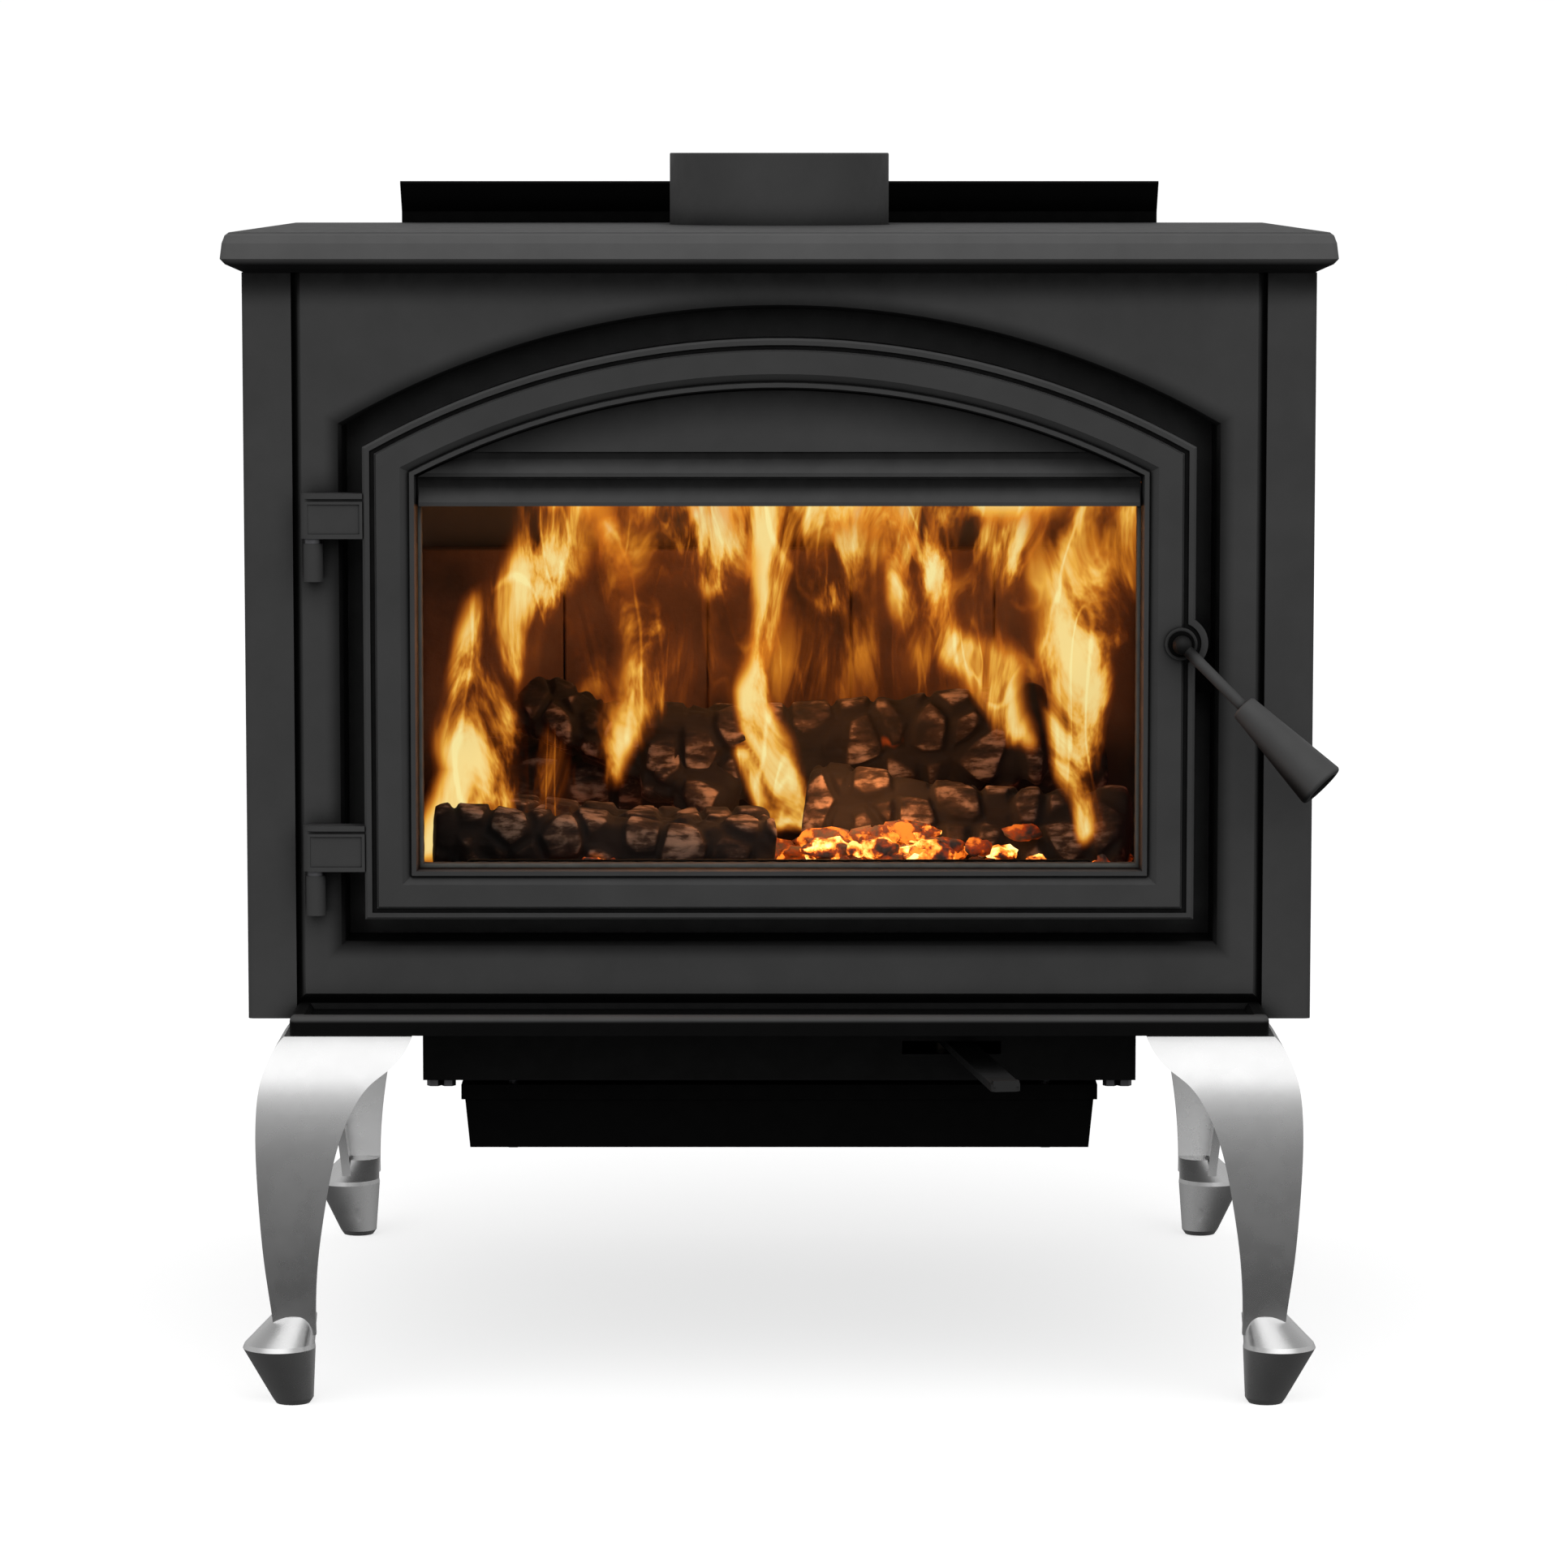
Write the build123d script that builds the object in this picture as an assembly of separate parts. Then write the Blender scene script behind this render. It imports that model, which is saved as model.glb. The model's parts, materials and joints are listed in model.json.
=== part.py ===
from build123d import *
import os
from math import cos, radians, sin, sqrt

# Wood burning stove on four cast legs.  Millimetres, +Z up, front towards -Y.
# Origin: on the floor, under the centre of the whole stove.

# ---------------------------------------------------------------- driving dimensions
STOVE_HEIGHT = 806.0          # floor to the rim of the flue collar
FACE_Y = -233.0               # front plane of the cast face plate
FLUE_BORE_R = 76.2            # six-inch flue
FLUE_OUTER_R = 78.5
FLUE_Y = FACE_Y + 425.0

TOP_HALF_WIDTH = 360.7        # cast top plate at its widest
TOP_FRONT_Y = FACE_Y - 15.0
TOP_REAR_Y = FACE_Y + 535.0
TOP_Z = 755.0
TOP_UNDERSIDE_Z = 729.0
TOP_SKIN = 9.0                # thickness of the cooking surface

BODY_HALF_WIDTH = 348.0       # over the side panels
BODY_REAR_Y = FACE_Y + 530.0
BASE_HALF_WIDTH = 316.0
BASE_FRONT_Y = FACE_Y - 63.0  # the ash lip reaches this far forward
BASE_REAR_Y = FACE_Y + 535.0
BASE_Z = 240.0
BASE_TOP_Z = 252.5
PANEL_BOTTOM_Z = 242.0
PANEL_RETURN = 40.0           # depth of the hem behind the front flange
SHEET = 2.5                   # side panel and shield steel

FIREBOX_HALF_WIDTH = 300.0
FIREBOX_FRONT_Y = FACE_Y + 45.0
FIREBOX_REAR_Y = FACE_Y + 515.0
FIREBOX_TOP_Z = 720.0
PLATE = 5.0                   # welded firebox plate

ARCH_CENTRE_Z = 135.3         # every arch of the door and face is struck from here
DOOR_HALF_WIDTH = 269.5
DOOR_BOTTOM_Z = 309.7
DOOR_ARCH_R = 552.0
DOOR_FRONT_Y = FACE_Y - 20.0
DOOR_REAR_Y = FACE_Y + 15.0
SIDE_STRETCH = 1.06           # the door's stiles are this much wider than its rails
OPENING_INSET = 33.4          # rail width, edge of the door to the glass opening
LIP_BACK_Y = FACE_Y - 12.0    # back of the lip that the glass bears on
LAND_Y = FACE_Y - 2.0         # land that the retainers are screwed to
PANEL_SILL_Z = 579.0          # bottom of the arch panel, top of the visible glass

HINGE_X = -302.0
HINGE_Y = FACE_Y - 10.0
PIN_R = 4.0
LUG_SPANS = [(340.9, 370.8), (557.7, 587.0)]
KNUCKLE_SPANS = [(311.8, 337.8), (529.7, 554.4)]

LATCH_X = 260.0
LATCH_Z = 490.0
SPINDLE_R = 5.0
HANDLE_LEAN = 14.0            # degrees towards the user
HANDLE_DROP = 45.0            # degrees below horizontal
HANDLE_REACH = 129.0
GRIP_START = 56.0

BRICK = 32.0
MANIFOLD_Z = 628.0
MANIFOLD_TOP_Z = 658.0
TUBE_R = 11.0

AIR_BOX_HALF_WIDTH = 238.0
AIR_BOX_FRONT_Y = FACE_Y + 70.0
AIR_BOX_Z = 190.0
LEVER_X = 110.0
LEVER_Y = FACE_Y + 160.0
LEVER_Z = 209.5
LEVER_TIP_X = 145.0
LEVER_TIP_Y = FACE_Y - 100.0

TRAY_HALF_WIDTH = 212.0
TRAY_FRONT_Y = FACE_Y + 90.0
TRAY_REAR_Y = FACE_Y + 430.0
TRAY_TOP_Z = 184.0
TRAY_Z = 140.6

LEG_WALL = 6.5
RUNNING = 0.05                # radial clearance of a shaft in its hole
NEAR = 0.3                    # gap left between curved faces of different bodies


# ---------------------------------------------------------------- helpers
def block(x0, x1, y0, y1, z0, z1):
    """Box between two corners."""
    middle = Pos((x0 + x1) / 2, (y0 + y1) / 2, (z0 + z1) / 2)
    return middle * Box(x1 - x0, y1 - y0, z1 - z0)


def upright(x, y, z0, z1, radius):
    """Cylinder along Z."""
    return Pos(x, y, (z0 + z1) / 2) * Cylinder(radius, z1 - z0)


def through(x, z, y0, y1, radius):
    """Cylinder along Y."""
    return Pos(x, (y0 + y1) / 2, z) * Rot(90, 0, 0) * Cylinder(radius, y1 - y0)


def across(y, z, x0, x1, radius):
    """Cylinder along X."""
    return Pos((x0 + x1) / 2, y, z) * Rot(0, 90, 0) * Cylinder(radius, x1 - x0)


def arched_face(half_width, bottom, radius, y):
    """Window outline in an XZ plane: straight sill and sides under an arch."""
    spring = ARCH_CENTRE_Z + sqrt(radius**2 - half_width**2)
    crown = ARCH_CENTRE_Z + radius
    left_spring = (-half_width, y, spring)
    right_spring = (half_width, y, spring)
    sides = Polyline(left_spring, (-half_width, y, bottom), (half_width, y, bottom), right_spring)
    return make_face(sides + ThreePointArc(right_spring, (0, y, crown), left_spring))


def arched(half_width, bottom, radius, y0, y1):
    """Arched prism between two depths."""
    return extrude(arched_face(half_width, bottom, radius, y0), amount=y1 - y0, dir=(0, 1, 0))


def arch_top(bottom, half_width, radius, y0, y1):
    """The part of an arched prism above a level that may cut the arch itself."""
    whole = arched(half_width, bottom - 60, radius, y0, y1)
    return whole & block(-half_width, half_width, y0, y1, bottom, ARCH_CENTRE_Z + radius + 1)


def door_outline(inset):
    """Half-width, sill and arch radius of the door outline, inset all round."""
    return DOOR_HALF_WIDTH - inset * SIDE_STRETCH, DOOR_BOTTOM_Z + inset, DOOR_ARCH_R - inset


def door_prism(inset, y0, y1):
    return arched(*door_outline(inset), y0, y1)


def door_taper(inset0, y0, inset1, y1):
    """Door outline that changes its inset between two depths."""
    return loft([arched_face(*door_outline(inset0), y0), arched_face(*door_outline(inset1), y1)])


def plate_layer(inset0, z0, inset1, z1):
    """Layer of the top plate whose edge slopes between two insets."""
    width = 2 * TOP_HALF_WIDTH
    depth = TOP_REAR_Y - TOP_FRONT_Y
    centre_y = (TOP_REAR_Y + TOP_FRONT_Y) / 2
    corner_r = 5.0
    faces = []
    for inset, z in [(inset0, z0), (inset1, z1)]:
        outline = RectangleRounded(width - 2 * inset, depth - 2 * inset, corner_r)
        faces.append(Pos(0, centre_y, z) * outline)
    return loft(faces)


def frustum(z0, box0, z1, box1):
    """Solid between two rectangles (x0, x1, y0, y1) at two heights."""
    faces = []
    for z, (x0, x1, y0, y1) in [(z0, box0), (z1, box1)]:
        faces.append(Pos((x0 + x1) / 2, (y0 + y1) / 2, z) * Rectangle(x1 - x0, y1 - y0))
    return loft(faces)


def hex_bolt(radius, shank, head=None):
    """Hexagon-head bolt, head above the XY plane and shank below it."""
    head_height = head or radius * 1.3
    head_solid = extrude(RegularPolygon(radius * 1.75, 6), head_height)
    head_solid = head_solid & Pos(0, 0, head_height / 2) * Cylinder(radius * 1.7, head_height)
    return head_solid + Pos(0, 0, -shank / 2) * Cylinder(radius, shank)


def pan_screw(radius, shank):
    """Round-head screw, head above the XY plane and shank below it."""
    head = Cylinder(radius * 1.8, radius * 1.1, align=(Align.CENTER, Align.CENTER, Align.MIN))
    head = fillet(head.edges().group_by(Axis.Z)[-1], radius * 0.5)
    slot = Pos(0, 0, radius * 0.9) * Box(radius * 2.4, radius * 0.5, radius * 0.6)
    return head - slot + Pos(0, 0, -shank / 2) * Cylinder(radius, shank)


def group(solids):
    """Several separate solids kept as one node."""
    return Compound(children=[part for solid in solids for part in solid.solids()])


def save(shape, node):
    export_step(shape, f"parts/{node}.step")


# ---------------------------------------------------------------- firebox
PORT = (-50.0, 50.0, FIREBOX_REAR_Y - 16.0, FIREBOX_REAR_Y - 7.0)   # secondary air
BOOST_X = 25.0
BOOST_Y = FIREBOX_FRONT_Y + 35.0
BOLT_CIRCLE_R = 90.0
COLLAR_BOLT_R = 4.0
INNER_HALF_WIDTH = FIREBOX_HALF_WIDTH - PLATE
INNER_FRONT_Y = FIREBOX_FRONT_Y + PLATE
INNER_REAR_Y = FIREBOX_REAR_Y - PLATE
INNER_FLOOR_Z = BASE_TOP_Z + PLATE
INNER_TOP_Z = FIREBOX_TOP_Z - PLATE
collar_bolt_spots = [
    (BOLT_CIRCLE_R * cos(radians(turn)), FLUE_Y + BOLT_CIRCLE_R * sin(radians(turn)))
    for turn in (45, 135, 225, 315)
]


def firebox_shell():
    outer = block(-FIREBOX_HALF_WIDTH, FIREBOX_HALF_WIDTH, FIREBOX_FRONT_Y, FIREBOX_REAR_Y,
                  BASE_TOP_Z, FIREBOX_TOP_Z)
    inner = block(-INNER_HALF_WIDTH, INNER_HALF_WIDTH, INNER_FRONT_Y, INNER_REAR_Y,
                  INNER_FLOOR_Z, INNER_TOP_Z)
    shell = outer - inner
    shell -= arched(240.0, 326.0, 535.0, FIREBOX_FRONT_Y - 1, INNER_FRONT_Y + 1)
    shell -= upright(0, FLUE_Y, INNER_TOP_Z - 1, FIREBOX_TOP_Z + 1, FLUE_BORE_R + 1.8)
    for x, y in collar_bolt_spots:
        shell -= upright(x, y, INNER_TOP_Z - 1, FIREBOX_TOP_Z + 1, COLLAR_BOLT_R + 0.2)
    for x, z in keeper_screw_spots:
        shell -= through(x, z, FIREBOX_FRONT_Y - 1, INNER_FRONT_Y + 1, KEEPER_SCREW_R + 0.1)
    shell -= block(*PORT, BASE_TOP_Z - 1, INNER_FLOOR_Z + 1)
    shell -= upright(0, BOOST_Y, BASE_TOP_Z - 1, INNER_FLOOR_Z + 1, 12.0)
    return shell


def door_jamb():
    """Raised knife edge that the door's rope seal closes on."""
    front = DOOR_REAR_Y + 2.4
    outer = arched(247.5, 318.7, 543.0, front, FIREBOX_FRONT_Y)
    return outer - arched(243.5, 322.7, 539.0, front - 1, FIREBOX_FRONT_Y + 1)


def air_wash_deflector():
    """Angle above the door opening that turns preheated air down the glass."""
    web = block(-225, 225, INNER_FRONT_Y + 6, INNER_FRONT_Y + 8.5, 672, INNER_TOP_Z)
    foot = block(-225, 225, INNER_FRONT_Y + 6, INNER_FRONT_Y + 30, 672, 674.5)
    return web + foot


def boost_air_housing():
    """Small hood on the firebox floor that feeds air to the embers."""
    hood = block(-BOOST_X, BOOST_X, BOOST_Y - 20, BOOST_Y + 16, INNER_FLOOR_Z, 306)
    hollow = block(-BOOST_X + 3, BOOST_X - 3, BOOST_Y - 17, BOOST_Y + 13, INNER_FLOOR_Z - 1, 303)
    hood -= hollow
    for x in (-14, 0, 14):
        hood -= through(x, 297, BOOST_Y + 10, BOOST_Y + 20, 3.0)
    return hood


def rear_air_duct():
    duct = block(-62, 62, INNER_REAR_Y - 13, INNER_REAR_Y, INNER_FLOOR_Z, MANIFOLD_Z)
    return duct - block(-60, 60, INNER_REAR_Y - 11, INNER_REAR_Y - 2, INNER_FLOOR_Z - 1, MANIFOLD_Z + 1)


def secondary_air_manifold():
    """U-shaped channel round the sides and back that feeds the air tubes."""
    front = INNER_FRONT_Y + 45
    outer = block(-INNER_HALF_WIDTH, INNER_HALF_WIDTH, front, INNER_REAR_Y, MANIFOLD_Z, MANIFOLD_TOP_Z)
    outer -= block(-268, 268, front - 1, INNER_REAR_Y - 34, MANIFOLD_Z - 1, MANIFOLD_TOP_Z + 1)
    inner = block(-INNER_HALF_WIDTH + 2, INNER_HALF_WIDTH - 2, front + 2, INNER_REAR_Y - 2,
                  MANIFOLD_Z + 2, MANIFOLD_TOP_Z - 2)
    inner -= block(-270, 270, front, INNER_REAR_Y - 36, MANIFOLD_Z, MANIFOLD_TOP_Z)
    manifold = outer - inner
    manifold -= block(-58, 58, INNER_REAR_Y - 10, INNER_REAR_Y - 3, MANIFOLD_Z - 1, MANIFOLD_Z + 3)
    return manifold


tube_ys = [FACE_Y + offset for offset in (150, 235, 320, 405)]
TUBE_Z = (MANIFOLD_Z + MANIFOLD_TOP_Z) / 2
HOLES_PER_TUBE = 12
HOLE_PITCH = 42.0


def secondary_air_tube(y):
    """Stainless tube with a row of jets towards the front."""
    tube = across(y, TUBE_Z, -267.9, 267.9, TUBE_R) - across(y, TUBE_Z, -269, 269, TUBE_R - 1.6)
    jets = []
    for index in range(HOLES_PER_TUBE):
        x = (index - (HOLES_PER_TUBE - 1) / 2) * HOLE_PITCH
        jets.append(Pos(x, y - TUBE_R, TUBE_Z - 4) * Rot(90, 0, 0) * Cylinder(2.4, 14))
    return tube - jets


def brick_wall(x0, x1, y0, y1, z0, z1, columns, rows, along):
    """Grid of bricks with a 1 mm joint, the columns running along X or Y."""
    joint = 0.5
    bricks = []
    for column in range(columns):
        for row in range(rows):
            span = (x0, x1) if along == "x" else (y0, y1)
            step = (span[1] - span[0]) / columns
            low = span[0] + column * step + joint
            high = low + step - 2 * joint
            if along == "x":
                row_step = (y1 - y0) / rows
                y_low = y0 + row * row_step + joint
                brick = block(low, high, y_low, y_low + row_step - 2 * joint, z0, z1)
            else:
                row_step = (z1 - z0) / rows
                z_low = z0 + row * row_step
                brick = block(x0, x1, low, high, z_low, z_low + row_step - 2 * joint)
            bricks.append(chamfer(brick.edges(), 1.2))
    return group(bricks)


FLOOR_BRICK_TOP = INNER_FLOOR_Z + BRICK
WALL_BRICK_TOP = FLOOR_BRICK_TOP + 229.0
BRICK_FRONT_Y = INNER_FRONT_Y + 53.0


def rear_bricks():
    bricks = []
    step = 2 * 262.0 / 5
    for column in range(5):
        low = -262.0 + column * step + 0.5
        brick = block(low, low + step - 1, INNER_REAR_Y - 14 - BRICK, INNER_REAR_Y - 14,
                      FLOOR_BRICK_TOP + 0.5, WALL_BRICK_TOP)
        bricks.append(chamfer(brick.edges(), 1.2))
    return group(bricks)


def brick_retainers():
    """Angle rails that keep the wall bricks upright."""
    rails = []
    for side in (-1, 1):
        inner = side * (INNER_HALF_WIDTH - BRICK - 3)
        outer = side * INNER_HALF_WIDTH
        low, high = sorted((inner, outer))
        shelf = block(low, high, BRICK_FRONT_Y, INNER_REAR_Y - 50, WALL_BRICK_TOP + 0.5,
                      WALL_BRICK_TOP + 3.5)
        low, high = sorted((inner, inner + side * 2.8))
        lip = block(low, high, BRICK_FRONT_Y, INNER_REAR_Y - 50, WALL_BRICK_TOP - 10,
                    WALL_BRICK_TOP + 3.5)
        rails.append(shelf + lip)
    return group(rails)


def baffle_boards():
    boards = []
    for low, high in [(-292, -1), (1, 292)]:
        boards.append(block(low, high, INNER_FRONT_Y + 60, INNER_REAR_Y - 5,
                            MANIFOLD_TOP_Z, MANIFOLD_TOP_Z + 25))
    return group(boards)


def baffle_blanket():
    top = MANIFOLD_TOP_Z + 25
    return block(-290, 290, INNER_FRONT_Y + 64, INNER_REAR_Y - 8, top, top + 8)


# ---------------------------------------------------------------- outer castings and sheets
MOAT = (283.8, 292.8, 570.4)          # half-width, sill and arch radius of the cut-out
FACE_THICK = 12.0
FACE_BEVEL = 6.0


def face_plate():
    """Cast front with bevelled edges and a deep arched recess for the door."""
    plate = block(-BASE_HALF_WIDTH, BASE_HALF_WIDTH, FACE_Y, FACE_Y + FACE_THICK,
                  BASE_TOP_Z, TOP_UNDERSIDE_Z)
    front_edges = plate.edges().filter_by_position(Axis.Y, FACE_Y - 0.1, FACE_Y + 0.1)
    bevelled = [edge for edge in front_edges if edge.center().Z < TOP_UNDERSIDE_Z - 1]
    plate = chamfer(bevelled, FACE_BEVEL)
    half_width, bottom, radius = MOAT
    plate += arched(half_width + 5, bottom - 5, radius + 5, FACE_Y + FACE_THICK, FIREBOX_FRONT_Y)
    plate -= arched(half_width, bottom, radius, FACE_Y - 1, FIREBOX_FRONT_Y + 1)
    soft = 2.5
    wide = arched_face(half_width + soft, bottom - soft, radius + soft, FACE_Y)
    return plate - loft([wide, arched_face(half_width, bottom, radius, FACE_Y + soft)])


def top_plate():
    """Cast cooktop with a moulded edge, hollow beneath."""
    levels = [(14.0, TOP_UNDERSIDE_Z), (3.0, 734.5), (0.0, 738.0), (1.2, 748.0), (3.0, 753.0),
              (5.5, TOP_Z)]
    plate = None
    for (inset0, z0), (inset1, z1) in zip(levels, levels[1:]):
        layer = plate_layer(inset0, z0, inset1, z1)
        plate = layer if plate is None else plate + layer
    plate -= plate_layer(19.0, TOP_UNDERSIDE_Z - 1, 19.0, TOP_Z - TOP_SKIN)
    for x in DEFLECTOR_SCREW_XS:
        plate -= through(x, DEFLECTOR_SCREW_Z, TOP_REAR_Y - 7, TOP_REAR_Y + 1, DEFLECTOR_SCREW_R + 0.1)
    return plate - upright(0, FLUE_Y, TOP_UNDERSIDE_Z, TOP_Z + 1, FLUE_OUTER_R + 1.0)


def flue_collar():
    flange_z = FIREBOX_TOP_Z + 2.0
    collar = upright(0, FLUE_Y, flange_z, STOVE_HEIGHT, FLUE_OUTER_R)
    collar = fillet(collar.edges().group_by(Axis.Z)[-1], 1.0)
    collar += upright(0, FLUE_Y, flange_z, flange_z + 5, 100.0)
    collar -= upright(0, FLUE_Y, flange_z - 1, STOVE_HEIGHT + 1, FLUE_BORE_R)
    for x, y in collar_bolt_spots:
        collar -= upright(x, y, flange_z - 1, flange_z + 6, COLLAR_BOLT_R + 0.2)
    return collar


def collar_gasket():
    ring = upright(0, FLUE_Y, FIREBOX_TOP_Z, FIREBOX_TOP_Z + 2, 100.0)
    ring -= upright(0, FLUE_Y, FIREBOX_TOP_Z - 1, FIREBOX_TOP_Z + 3, 80.0)
    for x, y in collar_bolt_spots:
        ring -= upright(x, y, FIREBOX_TOP_Z - 1, FIREBOX_TOP_Z + 3, COLLAR_BOLT_R + 0.2)
    return ring


def collar_bolts():
    return group([Pos(x, y, FIREBOX_TOP_Z + 7) * hex_bolt(COLLAR_BOLT_R, 16)
                  for x, y in collar_bolt_spots])


def side_panel(side):
    """Bent steel jacket with a returned flange at the front and a flange at the back."""
    rear = BODY_REAR_Y
    outer = block(BASE_HALF_WIDTH, BODY_HALF_WIDTH, FACE_Y, rear, PANEL_BOTTOM_Z, TOP_UNDERSIDE_Z)
    corners = outer.edges().filter_by(Axis.Z).group_by(Axis.X)[-1]
    outer = fillet(corners, 4.0)
    inner = block(BASE_HALF_WIDTH - 1, BODY_HALF_WIDTH - SHEET, FACE_Y + SHEET, rear - SHEET,
                  PANEL_BOTTOM_Z - 1, TOP_UNDERSIDE_Z + 1)
    inner_corners = inner.edges().filter_by(Axis.Z).group_by(Axis.X)[-1]
    panel = outer - fillet(inner_corners, 1.5)
    panel += block(BASE_HALF_WIDTH, BASE_HALF_WIDTH + SHEET, FACE_Y, FACE_Y + PANEL_RETURN,
                   PANEL_BOTTOM_Z, TOP_UNDERSIDE_Z)
    for z in REAR_SCREW_ZS:
        panel -= through(REAR_SCREW_X, z, rear - SHEET - 1, rear + 1, REAR_SCREW_R + 0.1)
    return panel if side > 0 else mirror(panel, Plane.YZ)


REAR_SHIELD_Y = BODY_REAR_Y - SHEET - 2.0
REAR_SCREW_X = 326.0
REAR_SCREW_ZS = (285.0, 420.0, 560.0, 700.0)
REAR_SCREW_R = 2.5
SHIELD_SHEET_ZS = ((262.0, 335.5), (336.0, 589.5), (590.0, 722.0))
SHIELD_SLOT_XS = (-225.0, -75.0, 75.0, 225.0)
SHIELD_SLOT_ZS = (620.0, 650.0, 680.0)
rear_screw_spots = [(x, z) for x in (-REAR_SCREW_X, REAR_SCREW_X) for z in REAR_SCREW_ZS]


def rear_heat_shield():
    """Three sheets behind the firebox: two meet round the air window, the top one is slotted."""
    near = REAR_SHIELD_Y - 1
    far = REAR_SHIELD_Y + 3
    holes = [block(-120, 120, near, far, 300, 372)]
    holes += [through(x, z, near, far, REAR_SCREW_R + 0.1) for x, z in rear_screw_spots]
    holes += [block(x - 60, x + 60, near, far, z - 4, z + 4)
              for z in SHIELD_SLOT_ZS for x in SHIELD_SLOT_XS]
    return group([block(-334, 334, REAR_SHIELD_Y, REAR_SHIELD_Y + 2, low, high) - holes
                  for low, high in SHIELD_SHEET_ZS])


def shield_spacers():
    return group([through(x, z, FIREBOX_REAR_Y, REAR_SHIELD_Y, 6)
                  for x in (-240, 240) for z in (300, 560)])


def rear_screws():
    turned = Rot(-90, 0, 0)
    return group([Pos(x, BODY_REAR_Y, z) * turned * pan_screw(REAR_SCREW_R, SHEET + 4)
                  for x, z in rear_screw_spots])


DEFLECTOR_HALF_WIDTH = 278.0
DEFLECTOR_SCREW_XS = (-240.0, -80.0, 80.0, 240.0)
DEFLECTOR_SCREW_Z = 741.0
DEFLECTOR_SCREW_R = 3.0


def top_deflector():
    """Black strip along the back of the top that leans forward over it."""
    y = TOP_REAR_Y
    outline = Polyline((0, y, 733), (0, y, 763), (0, y - 19, 784), (0, y - 17.5, 785.4),
                       (0, y + 2, 763.8), (0, y + 2, 733), close=True)
    strip = extrude(make_face(outline), amount=DEFLECTOR_HALF_WIDTH, dir=(1, 0, 0), both=True)
    for x in DEFLECTOR_SCREW_XS:
        strip -= through(x, DEFLECTOR_SCREW_Z, y - 1, y + 3, DEFLECTOR_SCREW_R + 0.1)
    return strip


def deflector_screws():
    turned = Rot(-90, 0, 0)
    spots = [Pos(x, TOP_REAR_Y + 2, DEFLECTOR_SCREW_Z) for x in DEFLECTOR_SCREW_XS]
    return group([spot * turned * pan_screw(DEFLECTOR_SCREW_R, 8) for spot in spots])


# ---------------------------------------------------------------- base, air box and heat tray
leg_spots = [(side, end) for end in ("front", "rear") for side in (-1, 1)]
LEG_BOLT_OFFSET = 286.0


def corner_y(end, distance):
    """Y of a point this far out from the leg's local centre, at the front or the rear."""
    if end == "front":
        return BASE_FRONT_Y + BASE_HALF_WIDTH - distance
    return BASE_REAR_Y - BASE_HALF_WIDTH + distance


def base_plate():
    """Plate under the firebox; its dished front is the ash lip."""
    plate = block(-BASE_HALF_WIDTH, BASE_HALF_WIDTH, BASE_FRONT_Y, BASE_REAR_Y, BASE_Z, BASE_TOP_Z)
    corners = plate.edges().filter_by(Axis.Z).group_by(Axis.Y)[0]
    plate = fillet(corners, 5.0)
    front_top = plate.edges().group_by(Axis.Z)[-1].filter_by_position(Axis.Y, BASE_FRONT_Y - 1,
                                                                       BASE_FRONT_Y + 6)
    plate = fillet(front_top, 3.5)
    dish = frustum(BASE_TOP_Z - 3.5, (-304, 304, BASE_FRONT_Y + 13, FACE_Y - 5),
                   BASE_TOP_Z + 0.01, (-307, 307, BASE_FRONT_Y + 9, FACE_Y - 2))
    plate -= dish
    plate -= block(*PORT, BASE_Z - 1, BASE_TOP_Z + 1)
    plate -= upright(0, BOOST_Y, BASE_Z - 1, BASE_TOP_Z + 1, 12.0)
    for side, end in leg_spots:
        y = corner_y(end, LEG_BOLT_OFFSET)
        plate -= upright(side * LEG_BOLT_OFFSET, y, BASE_Z - 1, BASE_Z + 9, 5.2)
    return plate


SLOT_X = (82.0, 148.0)
INLET = (LEVER_X - 32, LEVER_X + 32, LEVER_Y + 38, LEVER_Y + 84)


def air_box():
    """Open-topped steel box under the base that meters all the combustion air."""
    rear = FIREBOX_REAR_Y
    box = block(-AIR_BOX_HALF_WIDTH, AIR_BOX_HALF_WIDTH, AIR_BOX_FRONT_Y, rear, AIR_BOX_Z, BASE_Z)
    box -= block(-AIR_BOX_HALF_WIDTH + 3, AIR_BOX_HALF_WIDTH - 3, AIR_BOX_FRONT_Y + 3, rear - 3,
                 AIR_BOX_Z + 3, BASE_Z + 1)
    box -= block(*SLOT_X, AIR_BOX_FRONT_Y - 1, AIR_BOX_FRONT_Y + 4, LEVER_Z - 2, LEVER_Z + 7)
    box -= block(*INLET, AIR_BOX_Z - 1, AIR_BOX_Z + 4)
    for x, y in box_bolt_spots:
        box -= upright(x, y, AIR_BOX_Z - 1, AIR_BOX_Z + 4, 3.2)
    for x, y in hanger_spots:
        box -= upright(x, y, AIR_BOX_Z - 1, AIR_BOX_Z + 4, 3.2)
    return box


box_bolt_spots = [(side * x, y) for side in (-1, 1) for x in (221.5, 231.0)
                  for y in (AIR_BOX_FRONT_Y + 10, FIREBOX_REAR_Y - 14)]
hanger_spots = [(side * 180.0, y) for side in (-1, 1)
                for y in (TRAY_FRONT_Y + 30, TRAY_REAR_Y - 30)]


def air_box_bolts():
    flip = Rot(180, 0, 0)
    bolts = []
    for x, y in box_bolt_spots:
        bolts.append(Pos(x, y, AIR_BOX_Z) * flip * hex_bolt(2.9, 10, head=5.0))
    return group(bolts)


def lever_axis():
    """Length and heading of the lever, from its pivot to its tip."""
    run = Vector(LEVER_TIP_X - LEVER_X, LEVER_TIP_Y - LEVER_Y, 0)
    return run.length, run.normalized()


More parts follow.
